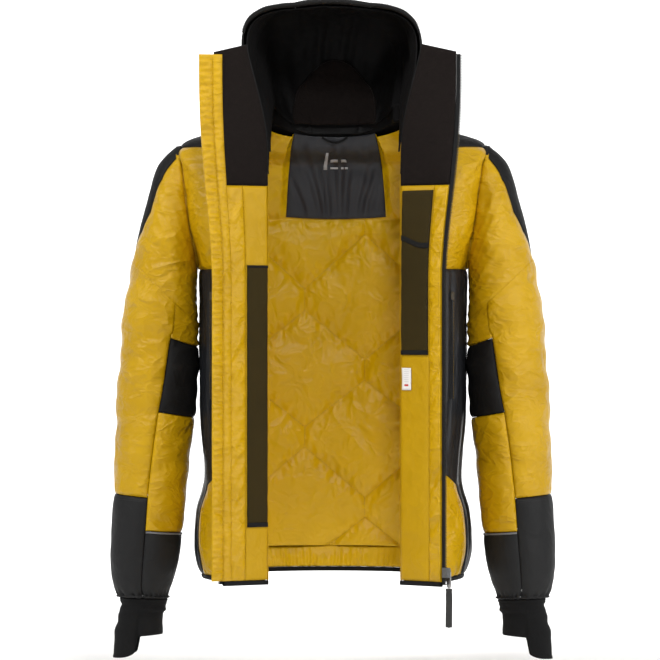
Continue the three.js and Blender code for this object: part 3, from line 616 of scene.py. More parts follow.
def woven(f, pitch=0.05):
    """The raised threads of a plain weave, pitch centimetres apart."""
    here = f.cloth_place(2 * PI / pitch)
    return (f.axis(here, "X").sine() * f.axis(here, "Y").sine()) * 0.5


def nylon(name, dark, light, gloss, crease=0.0022, size=30, stretch=(1, 1, 1), coat=0.0, shine=1.48):
    f = Finish(name, Coat_Weight=coat, Coat_Roughness=0.3, IOR=shine)
    here = f.place(stretch)
    soft = f.noise(here, size * 0.3, 3.0, 0.5, 0.3)
    folds = creases(f, here, size)
    f.set("Base Color", f.tint(soft * 0.9 + folds * 0.2, dark, light))
    f.set("Roughness", soft * 0.14 + (gloss - 0.07))
    f.relief(folds + soft * 1.4 + woven(f) * 0.012, crease)
    return f.material


mustard = nylon("mustard_cloth", (0.42, 0.23, 0.0012), (0.66, 0.39, 0.003), 0.33, crease=0.0046, size=28, shine=1.36, stretch=(1, 1, 1.6))
facing_nylon = nylon("facing_nylon", (0.42, 0.235, 0.0012), (0.56, 0.33, 0.003), 0.5, crease=0.0022, shine=1.3)
quilt_nylon = nylon("quilted_nylon", (0.60, 0.35, 0.0012), (0.82, 0.50, 0.003), 0.33, crease=0.0040, shine=1.40)
black = nylon("black_cloth", (0.0050, 0.0048, 0.0048), (0.0100, 0.0096, 0.0096), 0.62, crease=0.0018, shine=1.28)
charcoal = nylon("charcoal_cloth", (0.0075, 0.008, 0.009), (0.020, 0.021, 0.024), 0.38, crease=0.0030, stretch=(1, 1, 0.35), shine=1.38)
satin = nylon("black_satin", (0.015, 0.0155, 0.018), (0.040, 0.041, 0.047), 0.36, crease=0.0020, size=22, stretch=(1, 1, 0.3), shine=1.38)
cuff_cloth = nylon("cuff_nylon", (0.0085, 0.0085, 0.0088), (0.016, 0.016, 0.016), 0.58, crease=0.0016, shine=1.3)
hood_inside_cloth = nylon("hood_lining_nylon", (0.0028, 0.0026, 0.0027), (0.006, 0.0057, 0.0058), 0.66, crease=0.0014, shine=1.22)


def fleece_finish():
    f = Finish("brushed_fleece", IOR=1.2)
    here = f.place()
    fuzz = f.noise(here, 900, 3.0, 0.7)
    pile = f.noise(here, 130, 3.0, 0.6, 0.6)
    f.set("Base Color", f.tint(fuzz * 0.5 + pile * 0.5, (0.0055, 0.0040, 0.0036), (0.0165, 0.0122, 0.0108)))
    f.set("Roughness", pile * 0.1 + 0.88)
    f.relief(fuzz * 0.5 + pile, 0.0012)
    return f.material


def mesh_finish():
    """Fine knitted mesh: a honeycomb of holes with the yellow lining dim behind them."""
    f = Finish("knitted_mesh", IOR=1.3)
    here = f.cloth_place(10)
    cells = f.node("ShaderNodeTexVoronoi", {"feature": "F1"}, {"Vector": here, "Scale": 0.62, "Randomness": 0.12})
    hole = 1 - cells.step(0.28, 0.42)
    tone = f.noise(f.place(), 9, 3.0)
    f.set("Base Color", f.tint(hole * (tone * 0.5 + 0.35), (0.021, 0.0145, 0.0018), (0.085, 0.052, 0.002)))
    f.set("Roughness", hole * 0.1 + 0.72)
    f.relief(1 - hole, 0.0005)
    return f.material


def rib_finish(name, dark, light, pitch, along="X", rough=0.85, depth=0.0006):
    """Knit or woven ribs, pitch millimetres apart."""
    f = Finish(name, IOR=1.3)
    here = f.cloth_place(10)
    rib = f.axis(here, along) * (2 * PI / pitch)
    loops = f.axis(here, "Y" if along == "X" else "X") * (2 * PI / (pitch * 0.8))
    height = rib.sine() * 0.5 + 0.5 + loops.sine() * 0.15
    fuzz = f.noise(f.place(), 260, 3.0, 0.7)
    f.set("Base Color", f.tint(height * 0.6 + fuzz * 0.35, dark, light))
    f.set("Roughness", fuzz * 0.15 + (rough - 0.08))
    f.relief(height + fuzz * 0.4, depth)
    return f.material


def plain_finish(name, dark, light, rough, scale=60, depth=0.0002, **constant):
    f = Finish(name, **constant)
    tone = f.noise(f.place(), scale, 4.0, 0.6)
    f.set("Base Color", f.tint(tone, dark, light))
    f.set("Roughness", tone * 0.2 + (rough - 0.1))
    f.relief(tone, depth)
    return f.material


def label_finish():
    """White satin with plain printed lines and a small red block."""
    f = Finish("printed_label")
    here = f.cloth_place(10)
    x, y = f.axis(here, "X"), f.axis(here, "Y")
    lines = (y % 3.1).below(1.0) * (abs(x)).below(5.0) * (1 - y.below(12.0))
    block = y.below(9.0) * (1 - y.below(6.0)) * (abs(x)).below(4.5)
    base = f.tint(lines * 0.35, (0.86, 0.85, 0.83), (0.30, 0.30, 0.30))
    f.set("Base Color", f.tint(block, base, (0.55, 0.03, 0.03)))
    f.set("Roughness", f.noise(here, 2.0) * 0.1 + 0.5)
    return f.material


label_print = label_finish()
fleece = fleece_finish()
olive_mesh = mesh_finish()
knit = rib_finish("ribbed_knit", (0.0035, 0.0035, 0.0035), (0.0095, 0.0095, 0.0098), 2.2)
binding_tape = rib_finish("elastic_binding", (0.004, 0.004, 0.004), (0.014, 0.014, 0.014), 1.3, rough=0.7, depth=0.0004)
zip_tape = rib_finish("woven_zip_tape", (0.005, 0.005, 0.005), (0.016, 0.016, 0.017), 1.1, along="Y", rough=0.65, depth=0.0003)
pull_weave = rib_finish("woven_pull_tape", (0.022, 0.022, 0.022), (0.075, 0.074, 0.070), 1.6, along="Y", rough=0.8, depth=0.0005)
teeth_plastic = plain_finish("moulded_teeth", (0.010, 0.010, 0.010), (0.022, 0.022, 0.022), 0.34, 90, 0.00015)
dark_metal = plain_finish("coated_metal", (0.10, 0.105, 0.11), (0.24, 0.245, 0.25), 0.36, 220, 0.00012, Metallic=0.9)
pale_metal = plain_finish("worn_metal", (0.42, 0.42, 0.41), (0.62, 0.61, 0.60), 0.30, 240, 0.0001, Metallic=0.9)
reflective = plain_finish("reflective_piping", (0.10, 0.10, 0.105), (0.20, 0.20, 0.205), 0.38, 300, 0.0001)
mustard_thread = plain_finish("mustard_thread", (0.30, 0.17, 0.003), (0.50, 0.30, 0.006), 0.55, 900, 0.0002)
dark_thread = plain_finish("dark_thread", (0.006, 0.006, 0.006), (0.02, 0.02, 0.02), 0.6, 900, 0.0002)
mark_print = plain_finish("pale_print", (0.35, 0.35, 0.36), (0.50, 0.50, 0.51), 0.6, 400, 0.00005)
cord_weave = rib_finish("woven_cord", (0.006, 0.006, 0.006), (0.022, 0.022, 0.022), 1.2, along="Y", rough=0.75, depth=0.0004)


# ---------- where the cloth is sewn down ----------
arm_front = steps([(CHEST, 1), (6.5, 1.2), (7, 1.275), (8, 1.26), (9, 1.21), (SHOULDER, 1.14)])
arm_back = steps([(CHEST, 1), (6.5, 0.83), (7, 0.761), (8, 0.771), (9, 0.817), (SHOULDER, 0.86)])
yoke_front = steps([(SHOULDER, 1.14), (11, 1.37), (NECK, 1.48)])
YOKE_BACK = 9.2
STEP_TOP, STEP_LOW = ring_for(-490), ring_for(-545)
BINDING_TOP = ring_for(-HEM_DROP + BINDING)
side_front = steps([(0, 1.2), (STEP_LOW, 1.22), (STEP_TOP, 1.84), (CHEST, 1.86)])
side_back = steps([(0, 0.7), (ring_for(-330), 0.68), (ring_for(-260), 0.86), (CHEST, 0.99)])
lining_edge = steps([(0, 0.965), (CHEST, 0.965), (7, 0.71), (9, 0.72), (SHOULDER, 0.72), (11, 0.75), (NECK, 0.9)])
SATIN_LOW = 7.6  # the ring of the satin yoke's lower seam


def satin_edge(s):
    """The satin yoke's sides are straight; its half width falls from 79 at the seam to 66 at the neck."""
    half = np.interp(s, [SATIN_LOW, NECK], [79, 66])
    return np.arcsin(np.clip(half / (1.1 * spline(HALF, np.asarray(s, float))), 0, 1)) * 2 / PI



QUARTER = 190  # about how long a quarter of the way round is

# the honeycomb on the lining, as (x, z) chains
LEFT_X, RIGHT_X = 46, -50
HONEYCOMB = [
    [(LEFT_X, -126), (LEFT_X, -154), (RIGHT_X, -240), (RIGHT_X, -274), (LEFT_X, -352), (LEFT_X, -384), (RIGHT_X, -458),
     (RIGHT_X, -490), (LEFT_X, -568), (LEFT_X, -600), (RIGHT_X, -675)],
    [(LEFT_X, -154), (142, -240), (142, -274), (LEFT_X, -352)], [(LEFT_X, -384), (142, -458), (142, -490), (LEFT_X, -568)],
    [(RIGHT_X, -240), (-146, -154), (-146, -126)], [(RIGHT_X, -274), (-146, -352), (-146, -384), (RIGHT_X, -458)],
    [(RIGHT_X, -490), (-146, -568), (-146, -600)], [(142, -240), (190, -200)], [(142, -274), (190, -315)],
    [(142, -458), (190, -420)], [(142, -490), (190, -530)], [(-146, -352), (-190, -320)], [(-146, -384), (-190, -420)],
    [(-146, -568), (-190, -530)], [(-146, -154), (-190, -190)], [(LEFT_X, -600), (142, -675)],
]
YOKE_SEAM = -130  # the seam across the lining under the satin yoke
HEM_SEAM = -650


def honeycomb_sewn(u, v, p):
    flat = np.stack([p[..., 0], p[..., 2]], -1)
    best = np.min([near_line(flat, line) for line in HONEYCOMB], axis=0)
    return (best < 2.6) | (abs(p[..., 2] - YOKE_SEAM) < 3) | (p[..., 2] < HEM_SEAM)


def body_sewn(u, s, p):
    lines = [abs(abs(u) - f(s)) * QUARTER < 3.2 for f in (side_front, side_back)]
    low = (s <= CHEST) & (lines[0] | lines[1])
    ring = abs(s - CHEST) < 0.03
    arm = (s > CHEST) & (s < SHOULDER) & ((abs(u) > arm_back(s)) & (abs(u) < arm_front(s)))
    yoke = (s >= SHOULDER) & (abs(abs(u) - yoke_front(s)) * QUARTER < 3.2)
    back = (abs(u) < 0.86) & (abs(s - YOKE_BACK) < 0.06)
    belt = (abs(s - 2) < 0.03) & (abs(u) < side_back(s))
    middle = (abs(s - 4.7) < 0.03) & (abs(u) < side_back(s))
    return low | ring | arm | yoke | back | belt | middle | (s < BINDING_TOP)


def rows_by_height(low, high, step):
    """Ring numbers for rows a fixed step apart, from one height to another at the side seam."""
    s = np.linspace(0, NECK, 2000)
    z = np.maximum.accumulate(spline(SIDE, s))
    travelled = np.concatenate([[0], np.cumsum(np.linalg.norm(np.diff(torso_at(0.8, s), axis=0), axis=-1))])
    a, b = np.interp([low, high], s, travelled)
    return np.interp(np.linspace(a, b, int((b - a) / step) + 1), travelled, s)


def lines_across(*stitched):
    return lambda u, z, p: np.any([abs(u - x) < 1.7 for x in stitched], axis=0)


def front_sewn(*stitched):
    across = lines_across(*stitched)
    return lambda u, z, p: across(u, z, p) | (abs(z + NECK_DROP) < 2) | (z < -FRONT_HEM + BINDING)


front = {name: front_surface(f) for name, f in FRONTS.items()}
sleeve = {name: tube(ARM, f["k"]) for name, f in FRONTS.items()}
gaiter = {name: tube(WRIST, f["k"]) for name, f in FRONTS.items()}
UPPER_END, INNER_END, ELBOW_END, GUARD_TOP, CUFF_TOP, SLEEVE_END, CAP_SEAM = 3.1, 4, 5.3, 6.6, 7.15, 10, 0.78
front_seam = steps([(3, CAP_SEAM), (4, CAP_SEAM), (5.3, 0.92), (6.5, 0.99), (8, 0.99), (10, 0.95)])
strap_edge = steps([(0, 1.66), (1, 1.56), (2, 1.62), (3.05, 1.92)])


def sleeve_sewn(u, v, p):
    turn = np.where(u > 2, u - 4, u)
    seams = (v > INNER_END - 0.02) & (abs(abs(turn) - front_seam(v)) * 75 < 2.8)
    strap = (v < UPPER_END) & (abs(abs(turn) - strap_edge(v)) * 90 < 2.8)
    inner = abs(turn) < front_seam(v)
    rings = (inner & ((abs(v - INNER_END) < 0.035) | (abs(v - ELBOW_END) < 0.035) | (abs(v - CUFF_TOP) < 0.04)))
    outer = ~inner & (abs(v - GUARD_TOP) < 0.04)
    return seams | strap | rings | outer


def hood_sewn(r, t, p):
    return (abs(abs(r) - 1) < 0.03) | (abs(r) > 1.97) | (t < 0.12)


drapes = {
    "quilt": Drape(lining_side, np.linspace(-0.97, 0.97, 108), rows_by_height(0, NECK, 4.4), honeycomb_sewn, 0.1, 5.0, 3),
    "body": Drape(torso, np.linspace(-2, 2, 210), rows_by_height(0, NECK, 5.6), body_sewn, 0.06, 2.2, 5),
    "right_front": Drape(front["right"], np.linspace(0, 112, 42), np.linspace(-FRONT_HEM, WING_TOP_INNER, 250),
                         front_sewn(1, 44, 73, 88, 88.6, 111), 0.09, 1.8, 7, limit=6),
    "left_front": Drape(front["left"], np.linspace(0, 99, 34), np.linspace(-FRONT_HEM, WING_TOP_INNER, 250),
                        front_sewn(1, 64, 94.5, 98), 0.08, 1.8, 9, limit=6),
    "right_sleeve": Drape(sleeve["right"], np.linspace(0, 4, 74), np.linspace(0, SLEEVE_END, 142), sleeve_sewn, 0.075, 2.6, 11),
    "left_sleeve": Drape(sleeve["left"], np.linspace(0, 4, 74), np.linspace(0, SLEEVE_END, 142), sleeve_sewn, 0.075, 2.6, 13),
    "hood": Drape(hood, np.linspace(-2, 2, 120), np.linspace(0, 5, 70), hood_sewn, 0.05, 1.6, 15),
    "hood_lining": Drape(hood_inside, np.linspace(-2, 2, 120), np.linspace(0, 5, 70), lambda r, t, p: (abs(r) > 1.97), 0.07, 2.5, 17),
}
settle(list(drapes.values()))


def gathers(u, count, seed):
    """Uneven small pleats along u, from -1 to 1."""
    rng = np.random.default_rng(seed)
    phase = np.interp(u, np.linspace(u.min(), u.max(), 40), np.cumsum(rng.uniform(0.55, 1.45, 40)))
    phase = phase / phase.max() * count
    high = np.interp(u, np.linspace(u.min(), u.max(), 30), rng.uniform(0.5, 1.1, 30))
    return np.sin(2 * PI * phase) * high


# ---------- the body's outside ----------
stitch_lines = {"torso": [], "front_right": [], "front_left": [], "hood": [], "sleeve_right": [], "sleeve_left": []}
dark_lines = {key: [] for key in stitch_lines}


def hem_gathers(u, s, p, edge):
    """The hem is drawn in by its elastic binding."""
    near = smooth(-600, -684, p[..., 2])
    return gathers(u, 46, 21) * 1.5 * near ** 1.5


def make_body():
    rows_low = 96
    for name, f in FRONTS.items():
        k = f["k"]
        edge = lambda s: k * (np.where(s < SHOULDER, arm_front(s), yoke_front(s)) + 0.004)
        chest = grid(2 * k, edge, CHEST, NECK, 26, 64)
        piece = cloth(f"{name}_chest_cloth", torso, chest, drapes["body"], SHELL)
        finish(piece, mustard, "mustard_nylon", "torso", f"{name}_chest_shell")
        low = grid(2 * k, lambda s: k * side_front(s), BINDING_TOP, CHEST - 0.005, 22, rows_low)
        piece = cloth(f"{name}_lower_front_cloth", torso, low, drapes["body"], SHELL, relief=hem_gathers)
        finish(piece, mustard, "mustard_nylon", "torso", f"{name}_lower_front_shell")

        def folds(u, s, p, edge):
            # soft upright folds, deeper towards the waist
            wave = np.sin(u * 38 + np.sin(p[..., 2] / 70) * 1.6) + 0.6 * np.sin(u * 71 + p[..., 2] / 90)
            return wave * 1.5 * (1 - np.exp(-edge / 14))

        flank = grid(lambda s: k * side_front(s), lambda s: k * side_back(s), BINDING_TOP, CHEST - 0.005, 44, rows_low)
        piece = cloth(f"{name}_side_cloth", torso, flank, drapes["body"], SHELL,
                      relief=lambda u, s, p, e: folds(u, s, p, e) + hem_gathers(u, s, p, e) * 0.6)
        finish(piece, charcoal, "charcoal_nylon", "torso", f"{name}_side_panel")
        s = np.linspace(BINDING_TOP, STEP_LOW, 60)
        stitch_lines["torso"].append(seam_line(torso, k * (side_front(s) + 0.02), s, drapes["body"], -0.4))
        s = np.linspace(0.2, CHEST, 120)
        stitch_lines["torso"].append(seam_line(torso, k * (side_back(s) - 0.02), s, drapes["body"], -0.4))
        s = np.linspace(CHEST + 0.1, SHOULDER, 80)
        stitch_lines["torso"].append(seam_line(torso, k * (arm_front(s) + 0.02), s, drapes["body"], -0.2))
        stitch_lines["torso"].append(seam_line(torso, k * (arm_back(s) - 0.02), s, drapes["body"], -0.2))
    edge = lambda s: np.where(s < CHEST, side_back(s), arm_back(s)) - 0.003
    back = grid(lambda s: -edge(s), edge, BINDING_TOP, YOKE_BACK - 0.02, 84, 130)
    piece = cloth("back_cloth", torso, back, drapes["body"], SHELL, relief=hem_gathers)
    finish(piece, mustard, "mustard_nylon", "torso", "back_shell")
    # the yoke runs over both shoulders; its lower edge steps from the back seam to the sleeves' tops
    half = np.concatenate([np.linspace(0, 0.852, 34), np.linspace(0.872, 1.14, 12)])
    columns = np.concatenate([-half[:0:-1], half])
    q = np.linspace(0, 1, 40)[:, None]
    low = np.where(abs(columns) < 0.86, YOKE_BACK + 0.02, SHOULDER + 0.005)
    s = mix(low[None, :], NECK, q)
    widening = np.clip((abs(columns) - 1) / 0.14, 0, 1)[None, :]
    c = columns[None, :] + np.sign(columns)[None, :] * widening * (yoke_front(s) - 1.14)
    piece = cloth("shoulder_yoke_cloth", torso, (c, s), drapes["body"], SHELL, puff=0.6)
    finish(piece, black, "black_nylon", "torso", "shoulder_yoke")
    u = np.linspace(-0.85, 0.85, 200)
    dark_lines["torso"].append(seam_line(torso, u, YOKE_BACK + 0.1, drapes["body"], 0.1))
    stitch_lines["torso"].append(seam_line(torso, u, YOKE_BACK - 0.12, drapes["body"], -0.2))
    hem = grid(-1.985, 1.985, 0.0, BINDING_TOP - 0.01, 300, 5)
    ribs = lambda u, s, p, e: 0.35 * np.sin(u * 480) + 0.9 * np.sin(PI * np.clip(s / BINDING_TOP, 0, 1))
    piece = cloth("hem_binding_tape", torso, hem, None, 4.4, lift=0.3, tuck=0.5, relief=ribs)
    finish(piece, binding_tape, "binding_tape", "torso", "hem_binding")


# ---------- the lining ----------
def make_lining():
    flat = -INSIDE  # the lining's hidden face lies this deep, seen from inside
    deep = flat + LINING

    patch = grid(lambda s: -lining_edge(s), lining_edge, ring_for(HEM_SEAM), NECK - 0.15, 300, 340)
    # the lining is flat where the satin yoke is sewn over it
    covered = lambda u, s: smooth(0.03, 0, abs(u) - satin_edge(s)) * smooth(SATIN_LOW - 0.1, SATIN_LOW, s)
    quilting = lambda u, s: mix(drapes["quilt"](u, s), -0.6, covered(u, s))

    def quilt_lift(u, s, p, edge):
        # a groove along each stitch line, plump cells between them, and puckers that cross the stitches
        x, z = p[..., 0], p[..., 2]
        away = np.min([near_line(np.stack([x, z], -1), line) for line in HONEYCOMB], axis=0)
        away = np.minimum(away, abs(z - YOKE_SEAM))
        pucker = np.sin(x / 2.3 + 1.6 * np.sin(z / 19)) * np.sin(z / 6.1 + x / 14) + 0.7 * np.sin(x / 4.4 - z / 8.5)
        plump = smooth(0, 46, away)
        off = -3.4 * np.exp(-away / 2.2) + 4.5 * plump + 1.1 * pucker * np.exp(-((away - 7) / 7) ** 2)
        return off * (1 - covered(u, s))

    piece = cloth("quilted_back_lining", lining_side, patch, quilting, LINING, lift=deep, tuck=0.6, relief=quilt_lift)
    finish(piece, quilt_nylon, "quilted_lining", "torso", "back_lining")
    heights = np.linspace(0, NECK, 1500)
    line_z = torso_at(0.25, heights)[:, 2]
    for chain in HONEYCOMB:
        for (x0, z0), (x1, z1) in zip(chain[:-1], chain[1:]):
            n = 24
            x, z = np.linspace(x0, x1, n), np.linspace(z0, z1, n)
            s = np.interp(z, line_z, heights)
            for _ in range(4):
                span = 1.12 * spline(HALF, s)
                c = np.clip(2 / PI * np.arcsin(np.clip(x / span, -0.95, 0.95)), -0.93, 0.93)
                for _ in range(3):
                    c = c + (x - torso_at(c, s)[..., 0]) / 300
                s = np.clip(s + (z - torso_at(c, s)[..., 2]) / 95, 0.5, NECK - 0.3)
            ok = (abs(c) < lining_edge(s) - 0.03) & (z > HEM_SEAM + 3)
            if ok.sum() > 4:
                stitch_lines["torso"].append(seam_line(lining_side, c[ok], s[ok], drapes["quilt"], deep - 0.9))
    for name, f in FRONTS.items():
        k = f["k"]
        edge = steps([(CHEST, 1.02), (7, 1.32), (9, 1.3), (11, 1.56)])
        patch = grid(1.93 * k, lambda s: k * edge(s), ring_for(HEM_SEAM), 11, 24, 110)
        piece = cloth(f"{name}_side_lining", lining_side, patch, None, LINING, lift=deep, tuck=0.4, puff=1.0)
        finish(piece, facing_nylon, "quilted_lining", "torso", f"{name}_front_lining")

    def satin_folds(u, s, p, edge):
        x = p[..., 0] / (0.55 + 0.45 * smooth(-130, 0, p[..., 2]))
        wave = np.sin(x / 6.3 + 0.8) + 0.7 * np.sin(x / 3.7 + p[..., 2] / 60) + 0.5 * np.sin(x / 10 - p[..., 2] / 45)
        return 0.75 * wave * (1 - np.exp(-edge / 12))

    patch = grid(lambda s: -satin_edge(s), satin_edge, SATIN_LOW, NECK - 0.04, 90, 50)
    piece = cloth("satin_yoke", lining_side, patch, None, FACING, lift=WALL + 0.2, tuck=0.7, relief=satin_folds)
    finish(piece, satin, "satin", "torso", "lining_yoke")
    for side in (-1, 1):
        s = np.linspace(SATIN_LOW + 0.05, NECK - 0.2, 80)
        dark_lines["torso"].append(seam_line(lining_side, side * (satin_edge(s) - 0.012), s, None, WALL + 0.1))
    u = np.linspace(-0.2, 0.2, 80)
    dark_lines["torso"].append(seam_line(lining_side, u, SATIN_LOW + 0.06, None, WALL + 0.1))

    def ruffle(u, s, p, edge):
        t = smooth(BINDING_TOP, ring_for(HEM_SEAM), s)
        return gathers(u, 62, 5) * (0.5 + 1.4 * (1 - t)) + 1.2 * np.sin(PI * t)

    patch = grid(-0.965, 0.965, BINDING_TOP + 0.01, ring_for(HEM_SEAM - 0.5), 380, 12)
    piece = cloth("gathered_hem_facing", lining_side, patch, None, LINING, lift=deep, tuck=0.8, relief=ruffle)
    finish(piece, quilt_nylon, "quilted_lining", "torso", "hem_facing")
    for up in (0.03, 0.08):
        u = np.linspace(-0.95, 0.95, 260)
        stitch_lines["torso"].append(seam_line(lining_side, u, ring_for(HEM_SEAM) + up, drapes["quilt"], deep - 0.2))


def make_neck_tape():
    """A dark tape covers the neck seam on the inside."""
    c, h = np.meshgrid(np.linspace(-1.75, 1.75, 120), np.linspace(-5, 24, 6))
    seam = torso.at(c, 0 * c + NECK)
    inward = -torso.normal(c, 0 * c + NECK - 0.3)
    inward[..., 2] = 0
    inward = unit(inward)
    up = point(0 * h, 0 * h, h)
    piece = sheet_mesh("neck_seam_tape", seam + up + inward * 4.2, seam + up + inward * 3.0)
    finish(piece, hood_inside_cloth, "black_nylon", "torso")


def make_loop_and_mark():
    n, sides = 40, 14
    t = np.linspace(0, 1, n)[:, None]
    start, middle, end = (np.array(v, float) for v in ((-20, 0, -1.9), (0, -2, -20), (20, 0, -1.9)))
    path = (1 - t) ** 2 * start + 2 * t * (1 - t) * middle + t * t * end
    tangent = unit(np.gradient(path, axis=0))
    across = unit(np.cross(tangent, [0, 1, 0.0]))
    out = np.cross(across, tangent)
    angle = np.linspace(0, 2 * PI, sides, endpoint=False)[None, :, None]
    twist = 1 + 0.07 * np.sin(4 * angle + np.arange(n)[:, None, None] * 1.2)
    ring = path[:, None] + CORD / 2 * twist * (np.cos(angle) * across[:, None] + np.sin(angle) * out[:, None])
    piece = sheet_mesh("hanger_loop_cord", ring, path[:, None] + 0 * ring, ring=True)
    finish(piece, cord_weave, "cord", "torso", "hanger_loop")
    # a plain mark of small pale bars where a size would be printed
    for number, (c0, c1, s0, s1) in enumerate([(-0.045, -0.032, 9.6, 10.9), (-0.02, 0.045, 10.25, 10.45), (-0.02, 0.03, 9.65, 9.8), (0.034, 0.045, 9.65, 9.8)]):
        patch = grid(c0, c1, s0, s1, 8, 4)
        piece = cloth(f"yoke_mark_{number}", lining_side, patch, None, 0.3, lift=WALL + 1.5, tuck=0.0)
        finish(piece, mark_print, "label", "torso")


# ---------- the fronts ----------
LAYER_1 = HINGE_R + 0.5
LAYER_2 = LAYER_1 + FACING + 1.0
CHAIN = 3.5


def front_piece(name, part, u0, u1, z0, z1, lift, thick, cols, material, slot, nodes=(), step=3.4, tuck=0.7, puff=0.0,
                relief=None, drape=True):
    rows = max(int((z1 - z0) / step), 2)
    piece = cloth(f"{name}_{part}", front[name], grid(u0, u1, z0, z1, cols, rows), drapes[f"{name}_front"] if drape else None,
                  thick, lift=lift, tuck=tuck, puff=puff, relief=relief)
    return finish(piece, material, slot, f"front_{name}", *nodes)


def front_stitch(name, u, z0, z1, lift, wave=0.0):
    z = np.linspace(z0, z1, int(abs(z1 - z0) / 2.5))
    side = u + wave * np.sin(z / 5.5)
    stitch_lines[f"front_{name}"].append(seam_line(front[name], side, z, drapes[f"{name}_front"], lift))


def ruching(u, z, p, edge):
    """Short uneven pleats across a narrow band that is sewn to a shorter tape."""
    wave = np.sin(z / 1.55 + 1.7 * np.sin(z / 21) + u * 0.05) + 0.6 * np.sin(z / 2.9 + 2.1 * np.sin(z / 33) - u * 0.09)
    return wave * 1.25 * (1 - np.exp(-edge / 3.5))


def slant_creases(sign, amount):
    """Diagonal drag lines across a narrow strip."""
    def relief(u, z, p, edge):
        a = np.sin((z + sign * 1.3 * u) / 4.6 + 1.9 * np.sin(z / 37))
        b = np.sin((z + sign * 0.7 * u) / 9.1 + 1.3 * np.sin(z / 51 + 1))
        return amount * (0.6 * a + b) * (0.45 + 0.55 * np.sin(z / 63 + 0.8) ** 2) * (1 - np.exp(-edge / 5))
    return relief


